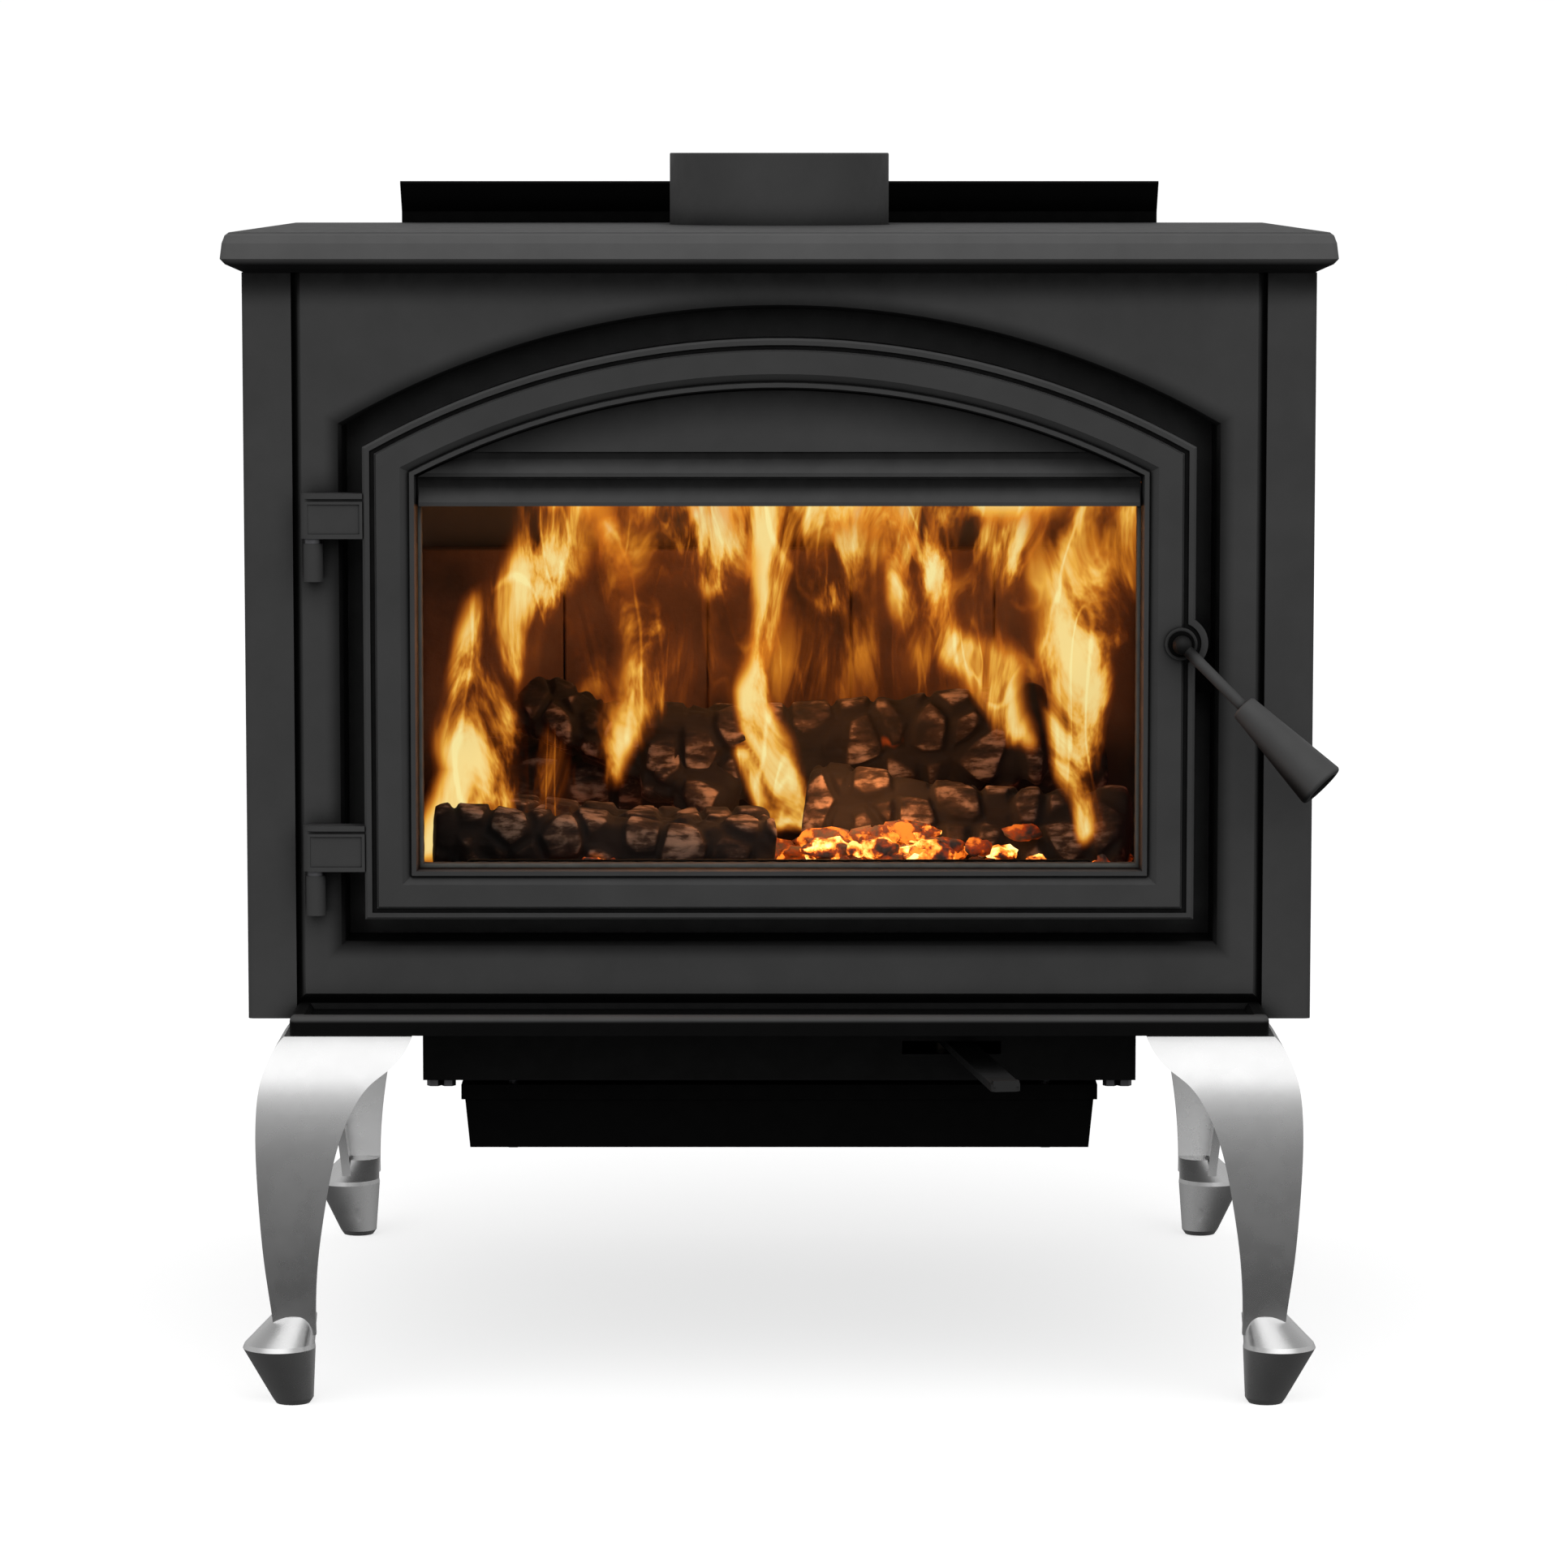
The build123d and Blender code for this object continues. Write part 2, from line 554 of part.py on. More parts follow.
def air_control_lever():
    """Flat bar that swings the air shutter, with a turned-up finger tab."""
    length, heading = lever_axis()
    plane = Plane(origin=(LEVER_X, LEVER_Y, LEVER_Z), x_dir=heading, z_dir=(0, 0, 1))
    bar = Pos(length / 2 - 6, 0, 2.5) * Box(length + 12, 19, 5)
    bar = fillet(bar.edges().filter_by(Axis.Z), 4.0)
    edge = Pos(length - 2.5, 0, 5) * Box(5, 17, 4)
    bar += edge
    bar -= Cylinder(PIN_R + RUNNING, 20)
    return plane * bar


def air_damper_plate():
    """Shutter and hub under the lever; it slides over the inlet in the box floor."""
    low = AIR_BOX_Z + 3 + NEAR
    shutter = block(LEVER_X - 46, LEVER_X + 46, LEVER_Y - 14, LEVER_Y + 96, low, low + 2.5)
    shutter = fillet(shutter.edges().filter_by(Axis.Z), 10)
    hub = upright(LEVER_X, LEVER_Y, low, LEVER_Z, 9)
    bore = upright(LEVER_X, LEVER_Y, low - 1, LEVER_Z + 1, PIN_R + RUNNING)
    return shutter + hub - bore


def lever_pivot_bolt():
    shank_length = LEVER_Z + 5 + NEAR - AIR_BOX_Z - 3
    return Pos(LEVER_X, LEVER_Y, LEVER_Z + 5 + NEAR) * hex_bolt(PIN_R, shank_length)


def bottom_heat_shield():
    """Tapered sheet tray hung under the air box."""
    top_box = (-TRAY_HALF_WIDTH, TRAY_HALF_WIDTH, TRAY_FRONT_Y, TRAY_REAR_Y)
    low_box = (-TRAY_HALF_WIDTH + 4, TRAY_HALF_WIDTH - 4, TRAY_FRONT_Y + 4, TRAY_REAR_Y - 4)
    tray = frustum(TRAY_Z, low_box, TRAY_TOP_Z, top_box)
    wall = 2.0
    hollow_top = (top_box[0] + wall, top_box[1] - wall, top_box[2] + wall, top_box[3] - wall)
    hollow_low = (low_box[0] + wall, low_box[1] - wall, low_box[2] + wall, low_box[3] - wall)
    rim = block(top_box[0] - 1.5, top_box[1] + 1.5, top_box[2] - 1.5, top_box[3] + 1.5,
                TRAY_TOP_Z - 10, TRAY_TOP_Z)
    tray += rim
    tray -= frustum(TRAY_Z + wall, hollow_low, TRAY_TOP_Z + 0.01, hollow_top)
    for x, y in hanger_spots:
        tray -= upright(x, y, TRAY_Z - 1, TRAY_Z + 3, 3.2)
    return tray


def tray_hanger_bolts():
    length = AIR_BOX_Z + 12 - TRAY_Z
    flip = Rot(180, 0, 0)
    return group([Pos(x, y, TRAY_Z) * flip * hex_bolt(3.0, length) for x, y in hanger_spots])


# ---------------------------------------------------------------- legs
RIM_CENTRE = 323.5
RIM_R = 23.5
RIM_Z = 38.0
SOLE_CENTRE = 315.5
SOLE_R = 14.0
ANKLE_Z = 46.0


def leg_outer_curve():
    """Knee to ankle, outward edge of a leg wall as (outward distance, height)."""
    knee = [(318, 241), (323.5, 235), (329, 225), (333.5, 212), (336, 194), (336, 150)]
    shin = [(334.4, 122), (331.6, 90), (327.6, 58), (326.4, ANKLE_Z)]
    return knee + shin


def leg_inner_curve():
    """Ankle to the tip of the bracket, inner edge of a leg wall."""
    shin = [(299.5, ANKLE_Z), (299.5, 66), (297.2, 99), (293, 128), (286, 163), (275, 193)]
    bracket = [(262.5, 211), (248.5, 222), (241.5, 230), (236.5, 241)]
    return shin + bracket


def side_sheet(thickness_only):
    """Leg wall seen square on, or its thickness seen edge on, as a face in XZ."""
    outer = [(x, 0, z) for x, z in leg_outer_curve()]
    if thickness_only:
        inner = [(x - LEG_WALL, 0, z) for x, z in reversed(leg_outer_curve())]
    else:
        inner = [(x, 0, z) for x, z in leg_inner_curve()]
    outline = [Spline(*outer), Line(outer[-1], inner[0]), Spline(*inner), Line(inner[-1], outer[0])]
    return make_face(outline)


def leg():
    """Corner leg of two curved walls that meet in a ridge, on a flared pad foot."""
    wide = extrude(side_sheet(False), amount=400, dir=(0, 1, 0))
    thin = extrude(side_sheet(True), amount=400, dir=(0, 1, 0))
    diagonal = Plane(origin=(0, 0, 0), x_dir=(1, 1, 0), z_dir=(1, -1, 0))
    wall = wide & mirror(thin, diagonal)
    body = wall + mirror(wall, diagonal)
    body &= block(0, 400, 0, 400, ANKLE_Z, BASE_Z)
    body += block(262, 318, 262, 318, BASE_Z - 7, BASE_Z)
    body += foot()
    body -= upright(LEG_BOLT_OFFSET, LEG_BOLT_OFFSET, BASE_Z - 8, BASE_Z + 1, 5.2)
    return body


def foot():
    """Flared pad: an oblique cone under a short rim, and a sloping top."""
    def ring(centre, z, radius):
        return Pos(centre, centre, z) * Circle(radius)

    sole = loft([ring(SOLE_CENTRE, 0, SOLE_R - 3.0), ring(SOLE_CENTRE, 3.5, SOLE_R - 0.6)])
    cup = loft([ring(SOLE_CENTRE, 3.5, SOLE_R - 0.6), ring(RIM_CENTRE, RIM_Z, RIM_R)])
    band = loft([ring(RIM_CENTRE, RIM_Z, RIM_R), ring(RIM_CENTRE - 0.4, RIM_Z + 3, RIM_R - 0.8)])
    instep = loft([ring(RIM_CENTRE - 0.4, RIM_Z + 3, RIM_R - 0.8), ring(314.0, 58, 14.4)])
    return sole + cup + band + instep


def place_leg(shape, side, end):
    """Put the leg, modelled for the +X rear corner, at one corner of the base."""
    placed = Pos(0, BASE_REAR_Y - BASE_HALF_WIDTH, 0) * shape
    if end == "front":
        middle_y = (BASE_FRONT_Y + BASE_REAR_Y) / 2
        placed = mirror(placed, Plane(origin=(0, middle_y, 0), x_dir=(1, 0, 0), z_dir=(0, 1, 0)))
    return placed if side > 0 else mirror(placed, Plane.YZ)


def leg_bolts():
    flip = Rot(180, 0, 0)
    bolts = []
    for side, end in leg_spots:
        y = corner_y(end, LEG_BOLT_OFFSET)
        bolts.append(Pos(side * LEG_BOLT_OFFSET, y, BASE_Z - 7) * flip * hex_bolt(5.0, 15))
    return group(bolts)


# ---------------------------------------------------------------- door
ROPE_OUTER = (250.5, 315.7, 546.0)
ROPE_INNER = (240.5, 325.7, 536.0)
POCKET = (238.3, 339.1, 522.6)
RECESS = (238.3, 328.2, 533.5)
EAR_R = 17.8                  # bulge of the stile round the latch
RIM_WIDTH = 4.4               # outer moulding of the door, before its groove
GROOVE_DEPTH = 4.5
retainer_screw_spots = [(x, 334.0) for x in (-150.0, 0.0, 150.0)]
retainer_screw_spots += [(x, 599.4) for x in (-150.0, 0.0, 150.0)]
CLIP_X = 120.0
clip_z = ARCH_CENTRE_Z + sqrt(528.0**2 - CLIP_X**2)
clip_screw_spots = [(-CLIP_X, clip_z), (CLIP_X, clip_z)]


def door_frame():
    """Arched casting with a moulded front, a glass pocket and a rope channel."""
    front = DOOR_FRONT_Y
    frame = door_prism(0, front + 3.2, DOOR_REAR_Y)
    frame += door_taper(0, front + 3.2, 1.5, front + 1.8)
    frame += through(LATCH_X, LATCH_Z, front + 1.8, DOOR_REAR_Y, EAR_R)
    groove = door_prism(RIM_WIDTH, front, front + GROOVE_DEPTH)
    groove += through(LATCH_X, LATCH_Z, front, front + GROOVE_DEPTH, EAR_R - RIM_WIDTH)
    groove -= door_prism(RIM_WIDTH + 3.0, front - 1, front + 5)
    groove -= through(LATCH_X, LATCH_Z, front - 1, front + 5, EAR_R - RIM_WIDTH - 3.0)
    frame -= groove
    frame += door_taper(7.0, front + GROOVE_DEPTH, 8.6, front)
    frame -= door_taper(23.0, front - 0.01, 28.0, front + 3.4)
    frame += door_taper(28.0, front + 3.4, 28.8, front + 1.0)
    frame -= door_taper(31.6, front + 0.99, OPENING_INSET, front + 6)
    frame -= door_prism(OPENING_INSET, front + 5, DOOR_REAR_Y + 1)
    frame += through(LATCH_X, LATCH_Z, front - 3, front + 3, 10.5) - through(
        LATCH_X, LATCH_Z, front - 4, front - 1.6, 8.0)
    frame -= arched(*POCKET, LIP_BACK_Y, DOOR_REAR_Y + 1)
    frame -= arched(*RECESS, LAND_Y, DOOR_REAR_Y + 1)
    channel = arched(*ROPE_OUTER, DOOR_REAR_Y - 9, DOOR_REAR_Y + 1)
    channel -= arched(*ROPE_INNER, DOOR_REAR_Y - 10, DOOR_REAR_Y + 2)
    frame -= channel
    frame -= through(LATCH_X, LATCH_Z, front - 5, DOOR_REAR_Y + 1, SPINDLE_R + RUNNING)
    for x, z in retainer_screw_spots[:3] + clip_screw_spots:
        frame -= through(x, z, LAND_Y - 7, LAND_Y + 1, 2.1)
    return frame


def door_gasket():
    """Rope seal lying in the channel, standing 2 mm proud."""
    outer = arched(ROPE_OUTER[0] - 0.2, ROPE_OUTER[1] + 0.2, ROPE_OUTER[2] - 0.2,
                   DOOR_REAR_Y - 8.9, DOOR_REAR_Y + 2)
    return outer - arched(ROPE_INNER[0] + 0.2, ROPE_INNER[1] - 0.2, ROPE_INNER[2] + 0.2,
                          DOOR_REAR_Y - 10, DOOR_REAR_Y + 3)


def louvre(z0, z1, front_top, front_bottom):
    """Horizontal bar whose face leans out towards its lower edge."""
    back = LIP_BACK_Y - 1.0
    half_width = 233.0
    outline = Polyline((0, back, z0), (0, front_bottom, z0), (0, front_bottom, z0 + 2.5),
                       (0, front_top, z1), (0, back, z1), close=True)
    return extrude(make_face(outline), amount=half_width, dir=(1, 0, 0), both=True)


def door_arch_panel():
    """Steel panel that fills the arch above the glass, with two louvre bars."""
    inset = OPENING_INSET + 0.3
    half_width, bottom, radius = door_outline(inset)
    front = LIP_BACK_Y - 3.2
    panel = arched(half_width, PANEL_SILL_Z, radius, LIP_BACK_Y - 2.0, LIP_BACK_Y)
    panel += arch_top(613.8, half_width, radius, front, LIP_BACK_Y)
    bars = louvre(598.0, 609.2, front + 1.1, front - 3.6)
    bars += louvre(PANEL_SILL_Z, 591.0, front + 1.1, front - 3.4)
    panel += bars & arched(half_width, PANEL_SILL_Z, radius, DOOR_FRONT_Y - 5, LIP_BACK_Y)
    ledge = arch_top(594.5, 237.9, 522.2, LIP_BACK_Y, LAND_Y)
    panel += ledge - arch_top(604.5, 224.0, 508.0, LIP_BACK_Y - 1, LAND_Y + 1)
    for x, z in retainer_screw_spots[3:]:
        panel -= through(x, z, LAND_Y - 7, LAND_Y + 1, 2.1)
    return panel


GLASS = (-236.3, 236.3, LIP_BACK_Y + 2.5, LIP_BACK_Y + 7.5, 341.0, 592.0)


def door_glass():
    pane = block(*GLASS)
    return fillet(pane.edges().filter_by(Axis.Y), 4.0)


def glass_gasket():
    """Flat tape folded over the edge of the glass."""
    tape = block(-238.2, 238.2, LIP_BACK_Y + 0.2, LAND_Y, 339.2, 594.3)
    tape -= block(-231.5, 231.5, LIP_BACK_Y - 1, LAND_Y + 1, 345.8, 585.0)
    return tape - block(*GLASS)


def glass_retainers():
    bottom = block(-205, 205, LAND_Y, LAND_Y + 3, 328.8, 347.0)
    top = block(-205, 205, LAND_Y, LAND_Y + 3, 583.0, 604.0)
    bars = []
    for bar in (bottom, top):
        bars.append(fillet(bar.edges().filter_by(Axis.Y), 4.0))
    for x, z in retainer_screw_spots:
        hole = through(x, z, LAND_Y - 1, LAND_Y + 4, 2.3)
        bars = [bar - hole for bar in bars]
    return group(bars)


def arch_panel_clips():
    clips = []
    for x, z in clip_screw_spots:
        clip = block(x - 12, x + 12, LAND_Y, LAND_Y + 3, z - 13, z + 2.4)
        clip = fillet(clip.edges().filter_by(Axis.Y), 2.5)
        clips.append(clip - through(x, z, LAND_Y - 1, LAND_Y + 4, 2.3))
    return group(clips)


def retainer_screws():
    turned = Rot(-90, 0, 0)
    return group([Pos(x, LAND_Y + 3, z) * turned * pan_screw(2.0, 9)
                  for x, z in retainer_screw_spots + clip_screw_spots])


def hinge_lugs():
    """Two lugs on the door's left edge that drop over the hinge pins."""
    lugs = []
    half = 8.0
    for z0, z1 in LUG_SPANS:
        lug = block(HINGE_X, -DOOR_HALF_WIDTH, HINGE_Y - half, HINGE_Y + half, z0, z1)
        lug += upright(HINGE_X, HINGE_Y, z0, z1, half)
        face = HINGE_Y - half
        lug -= block(HINGE_X - 3, -DOOR_HALF_WIDTH - 2, face - 1, face + 0.9, z0 + 3.0, z1 - 7.0)
        lug -= block(HINGE_X - half - 1, -DOOR_HALF_WIDTH, face - 1, face + 1.8, z1 - 5.2, z1 - 3.4)
        lug -= upright(HINGE_X, HINGE_Y, z0 - 1, z1 - 3, PIN_R + RUNNING)
        lugs.append(lug)
    return group(lugs)


def hinge_knuckles():
    """Fixed barrels on the face plate, under the door's lugs."""
    knuckles = []
    for z0, z1 in KNUCKLE_SPANS:
        barrel = upright(HINGE_X, HINGE_Y, z0, z1, 6.35)
        barrel += block(HINGE_X - 5, HINGE_X + 5, HINGE_Y, FACE_Y, z0 + 1, z1 - 1)
        barrel -= upright(HINGE_X, HINGE_Y, z0 + 4, z1 + 1, PIN_R + 0.02)
        knuckles.append(barrel)
    return group(knuckles)


def hinge_pins():
    pins = []
    for (knuckle_z0, knuckle_z1), (lug_z0, lug_z1) in zip(KNUCKLE_SPANS, LUG_SPANS):
        pins.append(upright(HINGE_X, HINGE_Y, knuckle_z0 + 4, lug_z1 - 4, PIN_R))
    return group(pins)


def hinge_washers():
    washers = []
    for (knuckle_z0, knuckle_z1), (lug_z0, lug_z1) in zip(KNUCKLE_SPANS, LUG_SPANS):
        washer = upright(HINGE_X, HINGE_Y, knuckle_z1, lug_z0 - NEAR, 6.0)
        washers.append(washer - upright(HINGE_X, HINGE_Y, knuckle_z1 - 1, lug_z0, PIN_R + 0.1))
    return group(washers)


# ---------------------------------------------------------------- handle and latch
KNOB_Y = DOOR_FRONT_Y - 11.5
CAM_FRONT_Y = FACE_Y + 24.0
CAM_REAR_Y = FACE_Y + 30.0
heading_x = cos(radians(HANDLE_DROP)) * cos(radians(HANDLE_LEAN))
heading_z = -sin(radians(HANDLE_DROP)) * cos(radians(HANDLE_LEAN))
handle_plane = Plane(origin=(LATCH_X, KNOB_Y, LATCH_Z), x_dir=(0, 1, 0),
                     z_dir=(heading_x, -sin(radians(HANDLE_LEAN)), heading_z))
FROM_BASE = (Align.CENTER, Align.CENTER, Align.MIN)
KEEPER_SCREW_R = 2.5
keeper_screw_spots = [(263.0, 461.5), (263.0, 474.5)]


def handle_rod():
    """Spindle through the door, bent over into the handle's rod."""
    rod_r = 3.75
    spindle = through(LATCH_X, LATCH_Z, KNOB_Y, FACE_Y + 39, SPINDLE_R)
    knuckle = Pos(LATCH_X, KNOB_Y, LATCH_Z) * Rot(0, 30, 0) * Sphere(6.2)
    rod = handle_plane * Pos(0, 0, 1) * Cylinder(rod_r, HANDLE_REACH - 13, align=FROM_BASE)
    return spindle + (knuckle + rod)


def handle_grip():
    """Tapered turned grip, widest at its free end."""
    length = HANDLE_REACH - GRIP_START
    neck_r = 8.6
    end_r = 16.3
    cone = Pos(0, 0, GRIP_START) * Cone(neck_r, end_r, length, align=FROM_BASE)
    cone = fillet(cone.edges().group_by(Axis.Z)[-1], 2.2)
    cone = fillet(cone.edges().group_by(Axis.Z)[0], 2.0)
    cone -= Pos(0, 0, GRIP_START - 1) * Cylinder(3.85, HANDLE_REACH - 10 - GRIP_START, align=FROM_BASE)
    cone -= Pos(0, 0, HANDLE_REACH - 2.5) * Cylinder(11.0, 5, align=FROM_BASE)
    return handle_plane * cone


def grip_cap():
    cap = Pos(0, 0, HANDLE_REACH - 2.5) * Cylinder(10.9, 2.1, align=FROM_BASE)
    return handle_plane * fillet(cap.edges().group_by(Axis.Z)[-1], 0.8)


def spindle_washer():
    ring = through(LATCH_X, LATCH_Z, DOOR_FRONT_Y - 5, DOOR_FRONT_Y - 3 - NEAR, 8.5)
    return ring - through(LATCH_X, LATCH_Z, DOOR_FRONT_Y - 6, DOOR_FRONT_Y - 2, SPINDLE_R + 0.02)


def latch_spacer():
    sleeve = through(LATCH_X, LATCH_Z, DOOR_REAR_Y + NEAR, CAM_FRONT_Y, 7.5)
    return sleeve - through(LATCH_X, LATCH_Z, DOOR_REAR_Y, CAM_FRONT_Y + 1, SPINDLE_R + 0.02)


def latch_cam():
    """Hub with a finger that turns behind the keeper."""
    cam = through(LATCH_X, LATCH_Z, CAM_FRONT_Y, CAM_REAR_Y, 8.5)
    finger = block(LATCH_X, LATCH_X + 20, CAM_FRONT_Y, CAM_REAR_Y, LATCH_Z - 4.5, LATCH_Z + 4.5)
    tip = finger.edges().filter_by(Axis.Y).group_by(Axis.X)[-1]
    cam += fillet(tip, 2.5)
    return cam - through(LATCH_X, LATCH_Z, CAM_FRONT_Y - 1, CAM_REAR_Y + 1, SPINDLE_R + 0.02)


def latch_nut():
    nut = extrude(RegularPolygon(8.0, 6), 6) - Pos(0, 0, 3) * Cylinder(SPINDLE_R + 0.02, 8)
    return Pos(LATCH_X, CAM_REAR_Y, LATCH_Z) * Rot(-90, 0, 0) * nut


def latch_keeper():
    """Hooked catch in the recess; the cam's finger passes behind its tab."""
    x0, x1 = 266.0, MOAT[0]
    z0, z1 = 455.0, 481.0
    tab = block(x0, x1, FACE_Y + 17.2, FACE_Y + 22.5, z0, z1)
    tab = fillet(tab.edges().filter_by(Axis.Y).group_by(Axis.X)[0], 3.0)
    leg_block = block(279.5, x1, FACE_Y + 17.2, FIREBOX_FRONT_Y, z0, z1)
    foot_block = block(252.0, x1, FIREBOX_FRONT_Y - 4, FIREBOX_FRONT_Y, z0, z1)
    keeper = tab + leg_block + foot_block
    for x, z in keeper_screw_spots:
        keeper -= through(x, z, FIREBOX_FRONT_Y - 5, FIREBOX_FRONT_Y + 1, KEEPER_SCREW_R + 0.1)
    return keeper


def keeper_screws():
    turned = Rot(90, 0, 0)
    return group([Pos(x, FIREBOX_FRONT_Y - 4, z) * turned * pan_screw(KEEPER_SCREW_R, 8)
                  for x, z in keeper_screw_spots])


# ---------------------------------------------------------------- write every node
save(firebox_shell(), "firebox_shell")
save(door_jamb(), "door_jamb")
save(air_wash_deflector(), "air_wash_deflector")
save(boost_air_housing(), "boost_air_housing")
save(rear_air_duct(), "rear_air_duct")
save(secondary_air_manifold(), "secondary_air_manifold")
save(group([secondary_air_tube(y) for y in tube_ys]), "secondary_air_tubes")
save(brick_wall(-285, 285, INNER_FRONT_Y + 53, INNER_REAR_Y - 14, INNER_FLOOR_Z, FLOOR_BRICK_TOP,
                5, 2, "x"), "floor_bricks")
save(brick_wall(-INNER_HALF_WIDTH, -INNER_HALF_WIDTH + BRICK, BRICK_FRONT_Y, INNER_REAR_Y - 47,
                FLOOR_BRICK_TOP + 0.5, WALL_BRICK_TOP + 0.5, 3, 1, "y"), "left_bricks")
save(brick_wall(INNER_HALF_WIDTH - BRICK, INNER_HALF_WIDTH, BRICK_FRONT_Y, INNER_REAR_Y - 47,
                FLOOR_BRICK_TOP + 0.5, WALL_BRICK_TOP + 0.5, 3, 1, "y"), "right_bricks")
save(rear_bricks(), "rear_bricks")
save(brick_retainers(), "brick_retainers")
save(baffle_boards(), "baffle_boards")
save(baffle_blanket(), "baffle_blanket")

save(face_plate(), "face_plate")
save(top_plate(), "top_plate")
save(flue_collar(), "flue_collar")
save(collar_gasket(), "collar_gasket")
save(collar_bolts(), "collar_bolts")
save(side_panel(-1), "left_side_panel")
save(side_panel(1), "right_side_panel")
save(rear_heat_shield(), "rear_heat_shield")
save(shield_spacers(), "shield_spacers")
save(rear_screws(), "rear_screws")
save(top_deflector(), "top_deflector")
save(deflector_screws(), "deflector_screws")

save(base_plate(), "base_plate")
save(air_box(), "air_box")
save(air_box_bolts(), "air_box_bolts")
save(air_control_lever(), "air_control_lever")
save(air_damper_plate(), "air_damper_plate")
save(lever_pivot_bolt(), "lever_pivot_bolt")
save(bottom_heat_shield(), "bottom_heat_shield")
save(tray_hanger_bolts(), "tray_hanger_bolts")

one_leg = leg()
for side, end in leg_spots:
    save(place_leg(one_leg, side, end), f"{end}_{'left' if side < 0 else 'right'}_leg")
save(leg_bolts(), "leg_bolts")

save(door_frame(), "door_frame")
save(door_arch_panel(), "door_arch_panel")
save(door_glass(), "door_glass")
save(glass_gasket(), "glass_gasket")
save(glass_retainers(), "glass_retainers")
save(arch_panel_clips(), "arch_panel_clips")
save(retainer_screws(), "retainer_screws")
save(door_gasket(), "door_gasket")
save(hinge_lugs(), "hinge_lugs")
save(hinge_knuckles(), "hinge_knuckles")
save(hinge_pins(), "hinge_pins")
save(hinge_washers(), "hinge_washers")

save(handle_rod(), "handle_rod")
save(handle_grip(), "handle_grip")
save(grip_cap(), "grip_cap")
save(spindle_washer(), "spindle_washer")
save(latch_spacer(), "latch_spacer")
save(latch_cam(), "latch_cam")
save(latch_nut(), "latch_nut")
save(latch_keeper(), "latch_keeper")
save(keeper_screws(), "keeper_screws")
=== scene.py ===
import json
import math
import random

import bpy
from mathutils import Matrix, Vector, noise


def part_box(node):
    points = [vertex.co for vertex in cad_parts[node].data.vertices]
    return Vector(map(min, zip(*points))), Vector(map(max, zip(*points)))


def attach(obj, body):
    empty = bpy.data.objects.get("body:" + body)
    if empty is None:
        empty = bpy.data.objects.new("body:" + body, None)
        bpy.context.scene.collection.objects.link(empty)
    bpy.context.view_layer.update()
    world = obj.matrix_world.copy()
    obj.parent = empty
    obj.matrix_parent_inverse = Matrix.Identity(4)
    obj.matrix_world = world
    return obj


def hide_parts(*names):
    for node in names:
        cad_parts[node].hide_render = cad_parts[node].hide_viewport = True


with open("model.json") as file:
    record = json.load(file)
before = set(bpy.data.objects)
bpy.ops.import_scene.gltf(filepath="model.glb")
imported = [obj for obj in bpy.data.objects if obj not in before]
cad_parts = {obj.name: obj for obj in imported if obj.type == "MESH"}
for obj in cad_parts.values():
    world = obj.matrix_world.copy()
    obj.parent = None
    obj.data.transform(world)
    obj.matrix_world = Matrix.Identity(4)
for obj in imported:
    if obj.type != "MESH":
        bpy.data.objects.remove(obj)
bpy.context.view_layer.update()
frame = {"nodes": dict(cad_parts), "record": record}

# Wood burning stove.  Metres, +Z up, front towards -Y, in the frame of the CAD model.

nodes = frame["nodes"]

# ---------------------------------------------------------------- places worked out from the frame
FACE_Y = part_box("face_plate")[0].y              # front plane of the cast face
LIP_FRONT_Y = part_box("base_plate")[0].y
LIP_TOP_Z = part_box("base_plate")[1].z           # rim of the ash lip
EDGE_LOW_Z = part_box("top_plate")[0].z           # underside of the cooking top
EDGE_TOP_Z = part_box("top_plate")[1].z
BRICK_FLOOR_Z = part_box("floor_bricks")[1].z     # top of the floor bricks
BRICK_FRONT_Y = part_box("floor_bricks")[0].y
BRICK_REAR_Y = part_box("rear_bricks")[0].y
BRICK_SIDE_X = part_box("right_bricks")[0].x

ARCH_CENTRE_Z = 0.1353                          # the door's arches are struck from here
MOAT_HALF_WIDTH = 0.2838                        # arched recess round the door
MOAT_SILL_Z = 0.2928
MOAT_RADIUS = 0.5704
GLASS_TOP_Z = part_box("door_arch_panel")[0].z    # sill of the arch panel
HOOD_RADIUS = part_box("door_arch_panel")[1].z - ARCH_CENTRE_Z
LOUVRE_PITCH = 0.0175                           # two louvre bars over the glass
SPINDLE = sum(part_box("spindle_washer"), Vector()) / 2    # where the handle turns

FLAME_HALF_WIDTH = 0.252
FLAME_LOW = 0.030                               # over the floor bricks
FLAME_HIGH = 0.336
ROPE_HALF_WIDTH = 0.0049
TAPE_HALF_WIDTH = 0.0034
STRAND_PITCH = 0.0015                           # spacing of the rings along rope and tape

# ---------------------------------------------------------------- camera and light
CAMERA_DISTANCE = 3.80                          # in front of the face plate
CAMERA_HEIGHT = 0.806
CAMERA_PITCH = math.radians(6.15)
CAMERA_LENS = 134.5
CAMERA_SHIFT_X = 0.003
STAGE_REACH = 30.0
FLOOR_GLOW = 0.64
SKY_LEVELS = [(0.0, 0.04), (0.30, 0.08), (0.37, 0.17), (0.45, 0.36), (0.50, 0.50), (0.68, 0.56),
              (1.0, 0.30)]                      # brightness from straight down to straight up
KEY_DIRECTION = Vector((0.0, -0.62, 0.78)).normalized()


